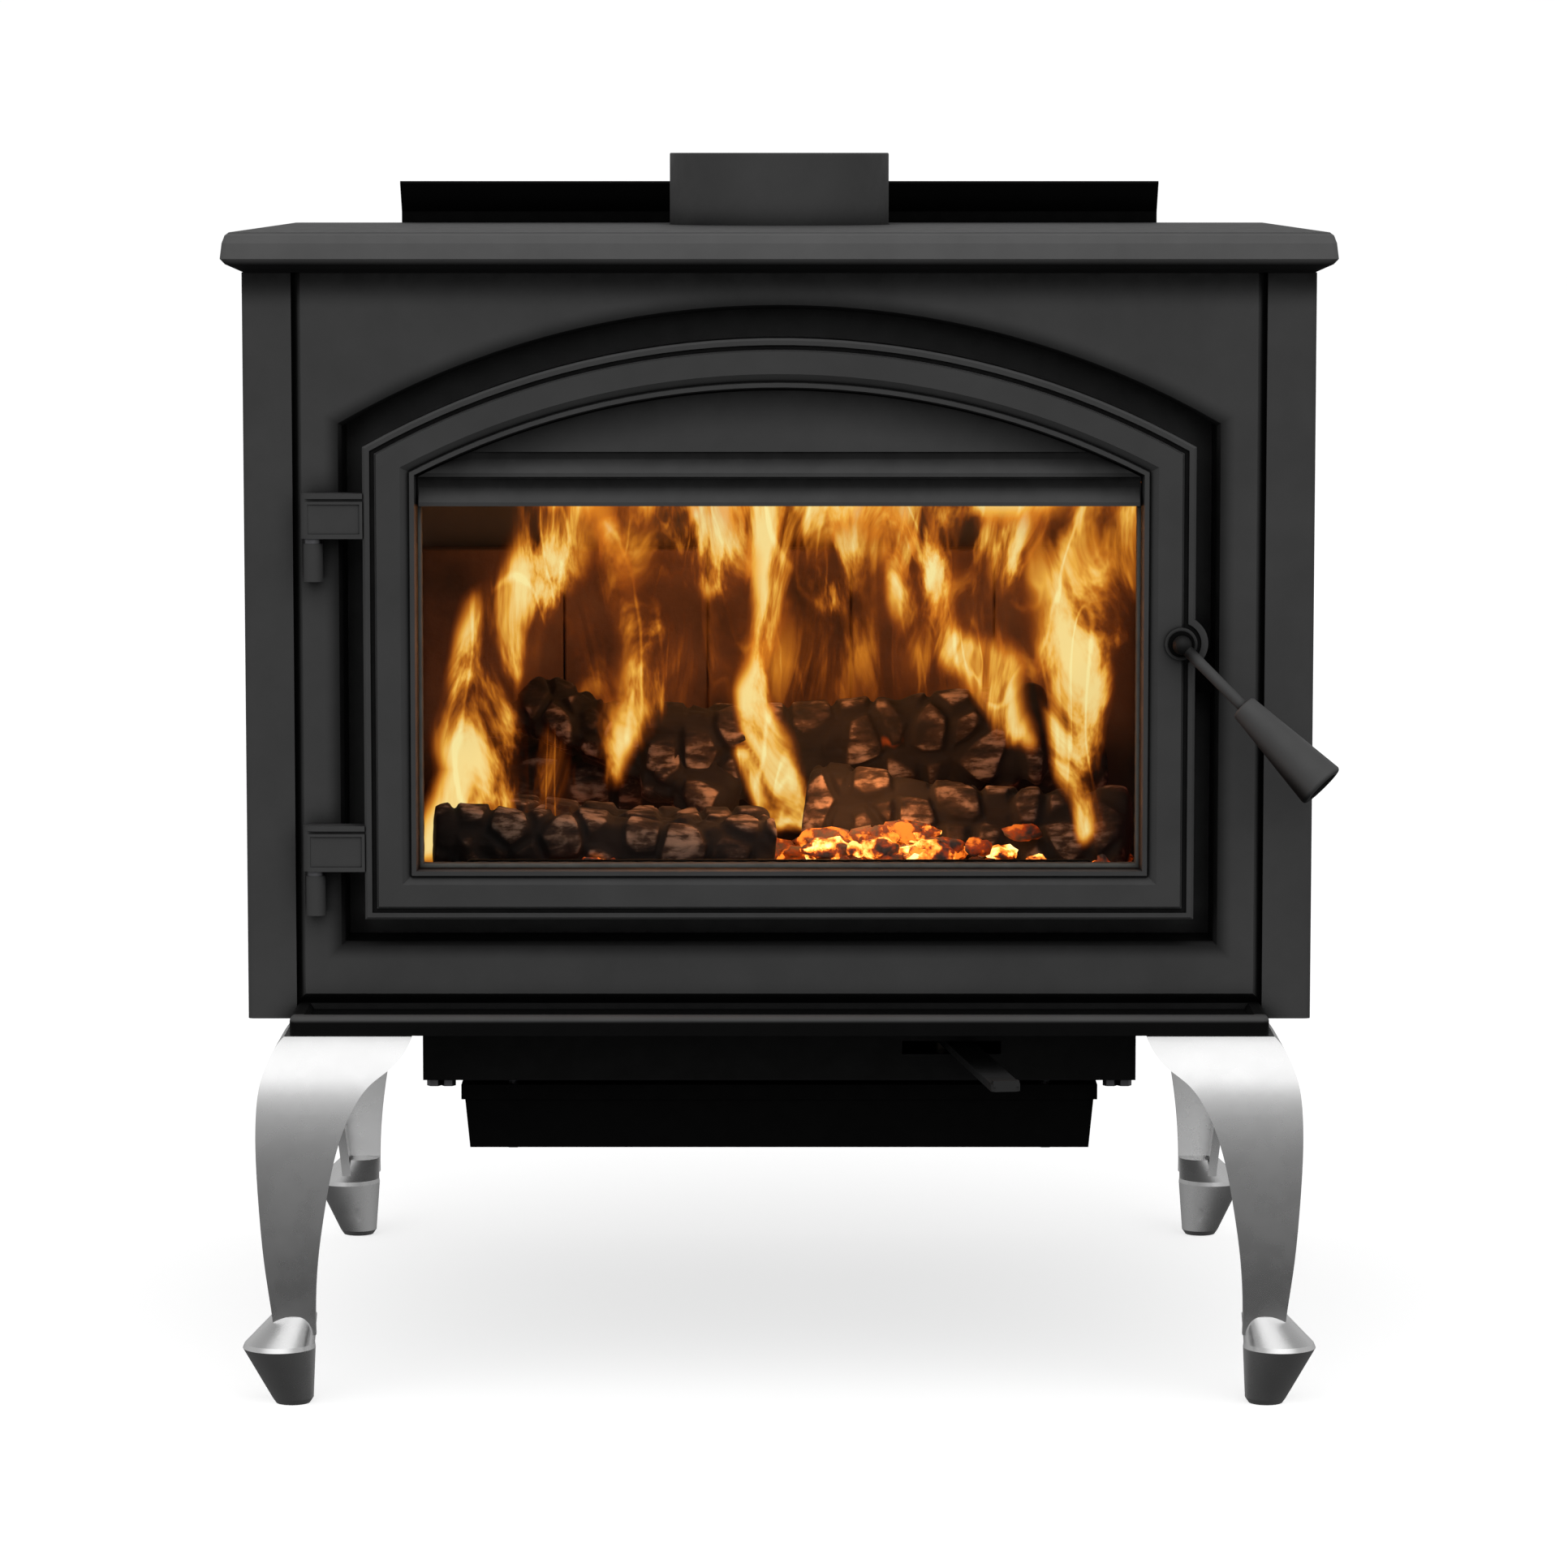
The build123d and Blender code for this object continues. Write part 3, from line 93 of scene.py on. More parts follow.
# ---------------------------------------------------------------- node helpers
class Shade:
    """Short way to build one node material."""

    def __init__(self, name):
        self.material = bpy.data.materials.new(name)
        self.material.use_nodes = True
        self.tree = self.material.node_tree
        self.tree.nodes.clear()
        self.out = self.add("ShaderNodeOutputMaterial")
        self.bsdf = self.add("ShaderNodeBsdfPrincipled")
        self.link(self.bsdf.outputs[0], self.out.inputs[0])
        self.place = None

    def add(self, kind, **settings):
        node = self.tree.nodes.new(kind)
        for key, value in settings.items():
            setattr(node, key, value)
        return node

    def link(self, source, target):
        self.tree.links.new(source, target)

    def put(self, node, **values):
        for key, value in values.items():
            node.inputs[key.replace("_", " ")].default_value = value
        return node

    def position(self):
        if self.place is None:
            self.place = self.add("ShaderNodeTexCoord").outputs["Object"]
        return self.place

    def along(self, axis):
        """One coordinate of the surface point, in metres."""
        split = self.add("ShaderNodeSeparateXYZ")
        self.link(self.position(), split.inputs[0])
        return split.outputs[axis]

    def attribute(self, name):
        return self.add("ShaderNodeAttribute", attribute_name=name).outputs["Fac"]

    def math(self, operation, first, second):
        node = self.add("ShaderNodeMath", operation=operation)
        for socket, value in zip(node.inputs, (first, second)):
            if isinstance(value, (int, float)):
                socket.default_value = value
            else:
                self.link(value, socket)
        return node.outputs[0]

    def range(self, source, low, high, start=0.0, end=1.0):
        """start where source is low, easing to end where it is high."""
        node = self.add("ShaderNodeMapRange", interpolation_type="SMOOTHSTEP")
        if low > high:
            low, high, start, end = high, low, end, start
        self.put(node, From_Min=low, From_Max=high, To_Min=start, To_Max=end)
        self.link(source, node.inputs["Value"])
        return node.outputs["Result"]

    def noise(self, size, detail=4.0, roughness=0.55, stretch=(1, 1, 1), distortion=0.0):
        """Noise whose lumps are about size metres across."""
        place = self.add("ShaderNodeMapping")
        place.inputs["Scale"].default_value = stretch
        self.link(self.position(), place.inputs["Vector"])
        node = self.add("ShaderNodeTexNoise")
        self.put(node, Scale=1.0 / size, Detail=detail, Roughness=roughness, Distortion=distortion)
        self.link(place.outputs[0], node.inputs["Vector"])
        return node.outputs["Fac"]

    def ramp(self, source, stops):
        node = self.add("ShaderNodeValToRGB")
        while len(node.color_ramp.elements) < len(stops):
            node.color_ramp.elements.new(0.5)
        for element, (place, colour) in zip(node.color_ramp.elements, stops):
            element.position = place
            element.color = (*colour, 1.0)
        self.link(source, node.inputs[0])
        return node.outputs[0]

    def tinted(self, colour, factor):
        """Colour darkened by a factor from 0 to 1."""
        node = self.add("ShaderNodeMix", data_type="RGBA", blend_type="MULTIPLY")
        node.inputs["Factor"].default_value = 1.0
        self.link(colour, node.inputs["A"])
        self.link(factor, node.inputs["B"])
        return node.outputs["Result"]

    def painted_corner_shade(self, reach, darkest):
        """Painted shade: 1 on open surfaces, falling to darkest in corners and grooves that ambient
        occlusion finds.
        """
        node = self.add("ShaderNodeAmbientOcclusion", samples=6)
        node.inputs["Distance"].default_value = reach
        return self.range(node.outputs["AO"], 0.38, 0.94, darkest, 1.0)

    def from_arch_centre(self):
        """Distance in XZ from the point that every arch is struck from."""
        place = self.add("ShaderNodeMapping")
        place.inputs["Location"].default_value = (0, 0, -ARCH_CENTRE_Z)
        place.inputs["Scale"].default_value = (1, 0, 1)
        self.link(self.position(), place.inputs["Vector"])
        length = self.add("ShaderNodeVectorMath", operation="LENGTH")
        self.link(place.outputs[0], length.inputs[0])
        return length.outputs["Value"]

    def bump(self, height, strength, distance):
        node = self.add("ShaderNodeBump")
        self.put(node, Strength=strength, Distance=distance)
        self.link(height, node.inputs["Height"])
        self.link(node.outputs[0], self.bsdf.inputs["Normal"])


def grey(value):
    return (value, value, value)


# ---------------------------------------------------------------- materials
def painted_iron(name, base, rough, zones=(), reach=0.022, darkest=0.06, gloss=0.30):
    """Matt stove paint over cast iron: fine sand texture, faint clouds, painted shade in the corners.

    Each zone is (where, low, high, start, end): where is an axis or a function that measures the
    surface point, and the paint's tone goes from start at low to end at high. Most zones paint in
    shade, shadow or light where it falls on the stove.
    """
    shade = Shade(name)
    tone = shade.noise(0.05, detail=5.0)
    colour = shade.ramp(tone, [(0.3, grey(base * 0.92)), (0.7, grey(base * 1.08))])
    # painted shade: corners and grooves are darkened in the paint
    colour = shade.tinted(colour, shade.painted_corner_shade(reach, darkest))
    # the zones darken or lighten the paint's colour; most of them paint in shade, shadow or light
    for where, low, high, start, end in zones:
        source = where(shade) if callable(where) else shade.along(where)
        colour = shade.tinted(colour, shade.range(source, low, high, start, end))
    shade.link(colour, shade.bsdf.inputs["Base Color"])
    sheen = shade.noise(0.012)
    shade.link(shade.range(sheen, 0.3, 0.7, rough - 0.06, rough + 0.06), shade.bsdf.inputs["Roughness"])
    shade.put(shade.bsdf, Specular_IOR_Level=gloss)
    shade.bump(shade.noise(0.0011, detail=3.0, roughness=0.6), 0.35, 0.0001)
    return shade.material


def plated_iron(name):
    """Satin nickel plate."""
    shade = Shade(name)
    colour = shade.ramp(shade.noise(0.03), [(0.3, grey(0.91)), (0.7, grey(0.96))])
    shade.link(colour, shade.bsdf.inputs["Base Color"])
    shade.link(shade.range(shade.noise(0.02), 0.3, 0.7, 0.25, 0.30), shade.bsdf.inputs["Roughness"])
    shade.put(shade.bsdf, Metallic=1.0)
    shade.bump(shade.noise(0.05, detail=1.0), 0.05, 0.0003)
    return shade.material


def fire_glass(name):
    """Clear ceramic glass with a thin uneven film of soot."""
    shade = Shade(name)
    film = shade.noise(0.09, detail=5.0)
    shade.link(shade.range(film, 0.35, 0.75, 0.015, 0.06), shade.bsdf.inputs["Alpha"])
    shade.put(shade.bsdf, Base_Color=(0.02, 0.015, 0.010, 1), Roughness=0.06)
    return shade.material


def plain(name, colour, rough, metallic=0.0, grain=0.002, spread=0.15, reach=0.015):
    shade = Shade(name)
    low = tuple(c * (1 - spread) for c in colour)
    high = tuple(min(1.0, c * (1 + spread)) for c in colour)
    tone = shade.ramp(shade.noise(grain * 6), [(0.3, low), (0.7, high)])
    # painted shade: the colour darkens in corners and grooves
    shade.link(shade.tinted(tone, shade.painted_corner_shade(reach, 0.3)), shade.bsdf.inputs["Base Color"])
    shade.put(shade.bsdf, Roughness=rough, Metallic=metallic)
    shade.bump(shade.noise(grain), 0.4, grain * 0.1)
    return shade.material


def firebrick(name, tint=(0.62, 0.58, 0.52)):
    """Buff firebrick, sooted in clouds and pitted, with painted shade in its corners."""
    shade = Shade(name)
    soot = shade.noise(0.10, detail=6.0)
    tones = [(0.30, (0.055, 0.038, 0.027)), (0.50, (0.22, 0.13, 0.08)), (0.70, (0.36, 0.24, 0.15))]
    colour = shade.ramp(soot, [(place, tuple(part * share for part, share in zip(tone, tint)))
                               for place, tone in tones])
    # painted shade: the brick darkens in its corners and joints
    shade.link(shade.tinted(colour, shade.painted_corner_shade(0.012, 0.25)), shade.bsdf.inputs["Base Color"])
    shade.put(shade.bsdf, Roughness=0.93)
    shade.bump(shade.noise(0.0035, detail=5.0), 0.6, 0.0006)
    return shade.material


def charred_wood():
    """Black char with pale ashy block faces and red heat deep in the cracks."""
    shade = Shade("charred_wood")
    block = shade.attribute("block")
    patch = shade.noise(0.035, detail=6.0)
    ash = shade.math("MULTIPLY", shade.range(block, 0.55, 1.0), shade.range(patch, 0.34, 0.60))
    fibre = shade.noise(0.006, detail=5.0, stretch=(0.35, 1.0, 1.0))
    ash = shade.math("MULTIPLY", ash, shade.range(fibre, 0.30, 0.65))
    colour = shade.ramp(ash, [(0.0, (0.006, 0.005, 0.0045)), (0.35, (0.05, 0.033, 0.022)),
                              (1.0, (0.36, 0.28, 0.21))])
    shade.link(colour, shade.bsdf.inputs["Base Color"])
    hot = shade.range(shade.noise(0.055, detail=3.0), 0.72, 0.90)
    seam = shade.range(block, 0.55, 0.05)
    ember = shade.math("MULTIPLY", hot, seam)
    glow = shade.ramp(ember, [(0.0, (0, 0, 0)), (0.4, (0.35, 0.035, 0.0)), (1.0, (1.0, 0.30, 0.04))])
    shade.link(glow, shade.bsdf.inputs["Emission Color"])
    shade.put(shade.bsdf, Emission_Strength=1.1, Roughness=0.92)
    shade.bump(fibre, 0.7, 0.0012)
    return shade.material


def ember_surface(name, gain, coolest):
    """Coals: grey ash skin over a glow that breaks through in patches."""
    shade = Shade(name)
    broad = shade.range(shade.noise(0.09, detail=3.0), 0.46, 0.64, coolest, 1.0)
    heat = shade.math("MULTIPLY", shade.attribute("glow"), broad)
    patch = shade.range(shade.noise(0.012, detail=5.0), 0.36, 0.62)
    ember = shade.math("MULTIPLY", heat, patch)
    glow = shade.ramp(ember, [(0.0, (0, 0, 0)), (0.25, (0.16, 0.014, 0.0)), (0.5, (0.95, 0.22, 0.02)),
                              (0.75, (1.0, 0.62, 0.15)), (1.0, (1.0, 0.88, 0.5))])
    shade.link(glow, shade.bsdf.inputs["Emission Color"])
    skin = shade.ramp(patch, [(0.0, (0.10, 0.085, 0.075)), (1.0, (0.012, 0.009, 0.008))])
    shade.link(skin, shade.bsdf.inputs["Base Color"])
    shade.put(shade.bsdf, Emission_Strength=gain, Roughness=0.95)
    shade.bump(shade.noise(0.004), 0.6, 0.001)
    return shade.material


def flame_surface():
    """Flame: soft orange tongues with brighter strands, clear where it is cool."""
    shade = Shade("flame")
    warmth = shade.attribute("warmth")
    lick = shade.noise(0.052, detail=5.0, roughness=0.58, stretch=(1.0, 1.0, 0.36), distortion=1.1)
    weave = shade.noise(0.045, detail=2.0, roughness=0.45, stretch=(1.0, 1.0, 0.25), distortion=1.5)
    swell = shade.range(lick, 0.36, 0.64, 0.16, 1.25)
    strand = shade.range(shade.math("ABSOLUTE", shade.math("SUBTRACT", weave, 0.5), 0), 0.045, 0.0,
                         0.0, 0.22)
    level = shade.math("MULTIPLY", shade.math("MULTIPLY", warmth, 0.68), shade.math("ADD", swell, strand))
    colour = shade.ramp(level, [(0.05, (0.22, 0.02, 0.0)), (0.25, (0.62, 0.13, 0.01)),
                                (0.45, (0.86, 0.27, 0.02)), (0.62, (0.99, 0.50, 0.07)),
                                (0.92, (1.0, 0.84, 0.36))])
    cover = shade.ramp(level, [(0.06, grey(0.0)), (0.22, grey(0.16)), (0.42, grey(0.55)),
                               (0.65, grey(0.90)), (0.95, grey(1.0))])
    shade.link(colour, shade.bsdf.inputs["Emission Color"])
    shade.link(cover, shade.bsdf.inputs["Alpha"])
    shade.put(shade.bsdf, Base_Color=(0, 0, 0, 1), Emission_Strength=1.0, Roughness=1.0,
              Specular_IOR_Level=0.0)
    return shade.material


MATERIALS = {
    "charcoal_paint": painted_iron("charcoal_stove_paint", 0.080, 0.62),
    "black_paint": painted_iron("black_stove_paint", 0.005, 0.70, gloss=0.08),
    "bright_nickel": plated_iron("satin_nickel_plate"),
    "ceramic_glass": fire_glass("fire_glass"),
    "sealing_rope": plain("glass_fibre_rope", (0.12, 0.12, 0.11), 0.9),
    "firebrick": firebrick("sooted_firebrick"),
    "vermiculite_board": plain("refractory_board", (0.40, 0.34, 0.27), 0.9),
    "ceramic_blanket": plain("ceramic_wool", (0.8, 0.8, 0.78), 0.95),
    "stainless_steel": plain("heat_tinted_stainless", (0.30, 0.25, 0.21), 0.35, 1.0),
    "galvanised_sheet": painted_iron("black_painted_sheet", 0.005, 0.65, gloss=0.10),
    "zinc_hardware": plain("blackened_zinc", (0.20, 0.20, 0.21), 0.38, 1.0),
}

MOAT_SHADE_ZONE = (1, FACE_Y + 0.0003, FACE_Y + 0.004, 1.0, 0.01)      # painted shade: the recess is darkened inside
# painted shade: the ash lip's front face is darkened below its rim
LIP_FRONT_SHADE_ZONE = (2, LIP_TOP_Z - 0.0045, LIP_TOP_Z - 0.002, 0.02, 1.0)
# painted shade: the lip's top darkens behind its front bead, towards the face
LIP_TRAY_SHADE_ZONE = (1, LIP_FRONT_Y + 0.009, LIP_FRONT_Y + 0.012, 1.0, 0.05)
# painted shadow under the cooking top's overhang, on the face plate and side panels
UNDER_TOP_SHADOW_ZONE = (2, EDGE_LOW_Z - 0.003, EDGE_LOW_Z - 0.024, 0.08, 1.0)
# painted shade: the lowest part of the cooking top's edge is darkened
BAND_UNDERSIDE_SHADE_ZONE = (2, EDGE_LOW_Z + 0.005, EDGE_LOW_Z + 0.009, 0.15, 1.0)
# painted shade: the flat cooking top is darker than its lit front edge
COOKTOP_SHADE_ZONE = (2, EDGE_TOP_Z - 0.0012, EDGE_TOP_Z - 0.0002, 1.0, 0.62)


def beyond_moat(shade):
    """Distance outside the arched recess in the face plate, which places the painted shade round it."""
    sideways = shade.math("SUBTRACT", shade.math("ABSOLUTE", shade.along(0), 0), MOAT_HALF_WIDTH)
    under = shade.math("SUBTRACT", MOAT_SILL_Z, shade.along(2))
    over = shade.math("SUBTRACT", shade.from_arch_centre(), MOAT_RADIUS)
    return shade.math("MAXIMUM", shade.math("MAXIMUM", sideways, under), over)


def louvre_slope(shade):
    """0 at the lower edge of each louvre bar and 1 at the top of its groove; it places painted shade in the
    grooves.
    """
    up = shade.math("SUBTRACT", shade.along(2), GLASS_TOP_Z)
    steps = shade.math("MODULO", up, LOUVRE_PITCH)
    inside = shade.math("LESS_THAN", up, 2 * LOUVRE_PITCH)
    return shade.math("MULTIPLY", shade.math("DIVIDE", steps, LOUVRE_PITCH), inside)


def down_the_handle(shade):
    """Distance from the spindle along the handle, which hangs down to the right."""
    fall = shade.math("SUBTRACT", shade.along(0), shade.along(2))
    return shade.math("MULTIPLY", shade.math("SUBTRACT", fall, SPINDLE.x - SPINDLE.z), math.sqrt(0.5))


def above_the_handle(shade):
    """Distance to the upper right of the handle's axis, which places the painted shade on the grip's lower
    left side.
    """
    rise = shade.math("ADD", shade.along(0), shade.along(2))
    return shade.math("MULTIPLY", shade.math("SUBTRACT", rise, SPINDLE.x + SPINDLE.z), math.sqrt(0.5))


# painted shade: the face plate darkens towards the edge of the recess
MOAT_EDGE_SHADE_ZONE = (beyond_moat, 0.0, 0.013, 0.10, 1.0)
# painted shade: the door frame's sides down in the recess are darkened
DOOR_SIDE_SHADE_ZONE = (1, FACE_Y - 0.0175, FACE_Y - 0.0145, 1.0, 0.01)
# painted shadow: the arch panel darkens towards the top, under the door's arch
HOOD_SHADOW_ZONE = (Shade.from_arch_centre, HOOD_RADIUS - 0.034, HOOD_RADIUS, 1.0, 0.06)
# painted shade: each louvre bar darkens towards the groove above it
LOUVRE_SHADE_ZONE = (louvre_slope, 0.25, 0.85, 1.0, 0.10)
# painted shade: the grip's lower left side is darkened
GRIP_SHADE_ZONE = (above_the_handle, -0.0145, -0.0060, 0.10, 1.0)
KNOB_ZONE = (down_the_handle, 0.006, 0.016, 0.12, 1.0)
NODE_MATERIALS = {
    "face_plate": painted_iron("face_plate_paint", 0.080, 0.62,
                               [MOAT_SHADE_ZONE, MOAT_EDGE_SHADE_ZONE, UNDER_TOP_SHADOW_ZONE]),
    "left_side_panel": painted_iron("left_panel_paint", 0.080, 0.62, [UNDER_TOP_SHADOW_ZONE]),
    "right_side_panel": painted_iron("right_panel_paint", 0.080, 0.62, [UNDER_TOP_SHADOW_ZONE]),
    # painted light: the side bricks are tinted red to stand in for the firelight falling on them
    "left_bricks": firebrick("left_firebrick_painted_firelight", (1.1, 0.24, 0.12)),
    "right_bricks": firebrick("right_firebrick_painted_firelight", (1.1, 0.24, 0.12)),
    "door_frame": painted_iron("door_frame_paint", 0.084, 0.64, [DOOR_SIDE_SHADE_ZONE], gloss=0.20),
    "door_arch_panel": painted_iron("arch_panel_paint", 0.078, 0.62, [HOOD_SHADOW_ZONE, LOUVRE_SHADE_ZONE]),
    "base_plate": painted_iron("ash_lip_paint", 0.105, 0.60, [LIP_FRONT_SHADE_ZONE, LIP_TRAY_SHADE_ZONE], gloss=0.12),
    # painted light: the cooking top is a lighter copy of the stove paint, standing in for light on its
    # front edge
    "top_plate": painted_iron("cooking_top_paint", 0.150, 0.58, [BAND_UNDERSIDE_SHADE_ZONE, COOKTOP_SHADE_ZONE]),
    "handle_grip": painted_iron("grip_paint", 0.105, 0.55, [GRIP_SHADE_ZONE]),
    "handle_rod": painted_iron("rod_paint", 0.090, 0.55, [KNOB_ZONE]),
    "air_control_lever": painted_iron("lever_paint", 0.035, 0.55),
    "air_box": painted_iron("air_box_paint", 0.012, 0.65, gloss=0.15),
    "grip_cap": MATERIALS["black_paint"],
    "spindle_washer": MATERIALS["black_paint"],
}

FIRE = {
    "charred_wood": charred_wood(),
    "embers": ember_surface("ember_bed", 1.4, 0.10),
    "coals": ember_surface("glowing_coals", 2.2, 0.85),
    "flame": flame_surface(),
}


def finish_cad_nodes():
    for row in frame["record"]["subparts"]:
        shape = nodes[row["node"]]
        shape.data.materials.clear()
        shape.data.materials.append(NODE_MATERIALS.get(row["node"], MATERIALS[row["material_slot"]]))


# ---------------------------------------------------------------- fuel and fire
def mesh_piece(name, points, faces, material, body="stove", smooth=True):
    """Mesh object in the shared frame that rides on one body."""
    mesh = bpy.data.meshes.new(name)
    mesh.from_pydata(points, [], faces)
    mesh.validate()
    piece = bpy.data.objects.new(name, mesh)
    bpy.context.scene.collection.objects.link(piece)
    mesh.materials.append(material)
    mesh.polygons.foreach_set("use_smooth", [smooth] * len(mesh.polygons))
    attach(piece, body)
    return piece


def point_values(piece, name, values):
    layer = piece.data.attributes.new(name, "FLOAT", "POINT")
    layer.data.foreach_set("value", values)


def ring_faces(rings, around):
    """Quads between successive closed rings."""
    faces = []
    for ring in range(rings - 1):
        for step in range(around):
            right = (step + 1) % around
            faces.append((ring * around + step, ring * around + right,
                          (ring + 1) * around + right, (ring + 1) * around + step))
    return faces


def grid_faces(columns, rows):
    faces = []
    for row in range(rows - 1):
        for column in range(columns - 1):
            corner = row * columns + column
            faces.append((corner, corner + 1, corner + columns + 1, corner + columns))
    return faces


def smooth_step(low, high, value):
    share = min(1.0, max(0.0, (value - low) / (high - low)))
    return share * share * (3.0 - 2.0 * share)


def char_cell(where, block_size):
    """0 in a crack of the charred surface, rising to 1 on the block between cracks."""
    cell = Vector((where.x / block_size, where.y / block_size / 1.7, where.z / block_size / 1.7))
    distances = noise.voronoi(cell)[0]
    return smooth_step(0.03, 0.30, distances[1] - distances[0])


def split_log(name, start, end, radius, roll, seed, block_size=0.024):
    """Burning split log: a rounded wedge, cracked into charred blocks."""
    rings = 170
    around = 90
    axis = end - start
    length = axis.length
    ahead = axis.normalized()
    side = ahead.cross(Vector((0, 0, 1))).normalized()
    up = side.cross(ahead)
    offset = Vector((seed * 3.1, seed * 1.7, seed * 0.9))
    points = []
    cracks = []
    for ring in range(rings):
        share = ring / (rings - 1)
        end_gap = min(share, 1 - share) * length
        taper = math.sqrt(max(0.0, 1 - (1 - min(1.0, end_gap / 0.012)) ** 2)) * 0.22 + 0.78
        if ring in (0, rings - 1):
            taper = 0.55
        sag = 0.004 * math.sin(share * 5 + seed)
        for step in range(around):
            turn = 2 * math.pi * step / around
            wedge = 0.86 + 0.13 * math.cos(3 * (turn - roll)) + 0.05 * math.cos(2 * turn + seed)
            spot = ahead * (share * length) + (side * math.cos(turn) + up * math.sin(turn)) * radius
            crack = char_cell(spot + offset, block_size)
            grain = noise.noise(Vector((share * length * 20, turn * 3, seed)))
            fibre = noise.noise(Vector((share * length * 60, turn * 22, seed + 4)))
            out = radius * wedge * taper * (1 + 0.06 * grain)
            out += 0.0045 * crack - 0.0035 + 0.0012 * fibre * crack
            points.append(start + ahead * (share * length) + up * sag
                          + (side * math.cos(turn) + up * math.sin(turn)) * out)
            cracks.append(crack)
    faces = ring_faces(rings, around)
    faces.append(tuple(reversed(range(around))))
    faces.append(tuple(range((rings - 1) * around, rings * around)))
    piece = mesh_piece(name, points, faces, FIRE["charred_wood"])
    point_values(piece, "block", cracks)
    return piece


def fuel_logs(floor_z, front_y):
    """Front log, a row of charred logs behind it and one leaning across at the right."""
    split_log("front_log", Vector((-0.238, front_y + 0.060, floor_z + 0.050)),
              Vector((-0.005, front_y + 0.095, floor_z + 0.042)), 0.036, 0.5, 1.0, 0.024)
    split_log("front_right_log", Vector((0.020, front_y + 0.170, floor_z + 0.058)),
              Vector((0.242, front_y + 0.125, floor_z + 0.044)), 0.033, 1.4, 2.0, 0.026)
    split_log("middle_log", Vector((-0.100, front_y + 0.215, floor_z + 0.098)),
              Vector((0.190, front_y + 0.235, floor_z + 0.104)), 0.037, 0.9, 3.0, 0.029)
    split_log("rear_log", Vector((-0.235, front_y + 0.300, floor_z + 0.060)),
              Vector((0.236, front_y + 0.310, floor_z + 0.066)), 0.050, 0.2, 4.0, 0.032)
    split_log("upper_log", Vector((-0.180, front_y + 0.270, floor_z + 0.128)),
              Vector((-0.035, front_y + 0.190, floor_z + 0.060)), 0.027, 1.9, 5.0, 0.022)


def ember_bed(floor_z, low, high):
    """Heaped ash and coals on the floor bricks."""
    columns = 200
    rows = 140
    points = []
    glow = []
    for row in range(rows):
        y = low.y + (high.y - low.y) * row / (rows - 1)
        for column in range(columns):
            x = low.x + (high.x - low.x) * column / (columns - 1)
            edge = min(1.0, min(x - low.x, high.x - x, y - low.y, high.y - y) / 0.05)
            lump = char_cell(Vector((x, y, 0.3)), 0.013)
            swell = noise.noise(Vector((x * 9, y * 9, 1.5)))
            height = (0.017 + 0.012 * swell) * edge + 0.006 * lump + 0.0015
            points.append(Vector((x, y, floor_z + height)))
            glow.append(1.0 - lump)
    piece = mesh_piece("ember_bed", points, grid_faces(columns, rows), FIRE["embers"])
    point_values(piece, "glow", glow)


def lump_points(centre, radius, rng):
    """Small broken coal, as a squashed and dented ball."""
    rings = 9
    around = 12
    stretch = Vector((rng.uniform(0.8, 1.7), rng.uniform(0.7, 1.2), rng.uniform(0.5, 0.9)))
    shift = Vector((rng.random() * 9, rng.random() * 9, rng.random() * 9))
    points = []
    for ring in range(rings):
        tilt = math.pi * (ring + 0.5) / rings
        for step in range(around):
            turn = 2 * math.pi * step / around
            ray = Vector((math.sin(tilt) * math.cos(turn), math.sin(tilt) * math.sin(turn), math.cos(tilt)))
            dent = 1 + 0.45 * noise.noise(ray * 1.6 + shift) + 0.15 * noise.noise(ray * 5 + shift)
            points.append(centre + Vector([a * b for a, b in zip(ray, stretch)]) * radius * dent)
    return points, rings, around


def glowing_coals(floor_z, front_y):
    """Loose coals under and between the logs; the brightest lie right of the middle."""
    rng = random.Random(11)
    points = []
    faces = []
    glow = []
    for count in range(190):
        if count < 38:
            x = rng.gauss(0.088, 0.036)
            y = front_y + rng.uniform(0.055, 0.125)
            z = floor_z + rng.uniform(0.030, 0.052)
            heat = rng.uniform(0.35, 1.0)
        else:
            x = rng.uniform(-0.235, 0.235)
            y = front_y + rng.uniform(0.02, 0.30)
            z = floor_z + rng.uniform(0.020, 0.034)
            heat = rng.uniform(0.0, 0.55)
        lump, rings, around = lump_points(Vector((x, y, z)), rng.uniform(0.005, 0.012), rng)
        start = len(points)
        points += lump
        shell = ring_faces(rings, around)
        shell.append(tuple(range(around)))
        shell.append(tuple(reversed(range((rings - 1) * around, rings * around))))
        faces += [tuple(start + corner for corner in face) for face in shell]
        glow += [heat] * len(lump)
    piece = mesh_piece("glowing_coals", points, faces, FIRE["coals"])
    point_values(piece, "glow", glow)


def tongue_heat(x, z, path):
    """How far inside a tongue of flame a point is: 1 on its spine and 0 at its edge."""
    best = 0.0
    for (x0, z0, wide0, heat0), (x1, z1, wide1, heat1) in zip(path, path[1:]):
        run_x = x1 - x0
        run_z = z1 - z0
        share = ((x - x0) * run_x + (z - z0) * run_z) / (run_x * run_x + run_z * run_z)
        share = min(1.0, max(0.0, share))
        gap = math.hypot(x - x0 - run_x * share, z - z0 - run_z * share)
        wide = wide0 + (wide1 - wide0) * share
        inside = max(0.0, 1.0 - gap / wide) * (heat0 + (heat1 - heat0) * share)
        best = max(best, inside)
    return best


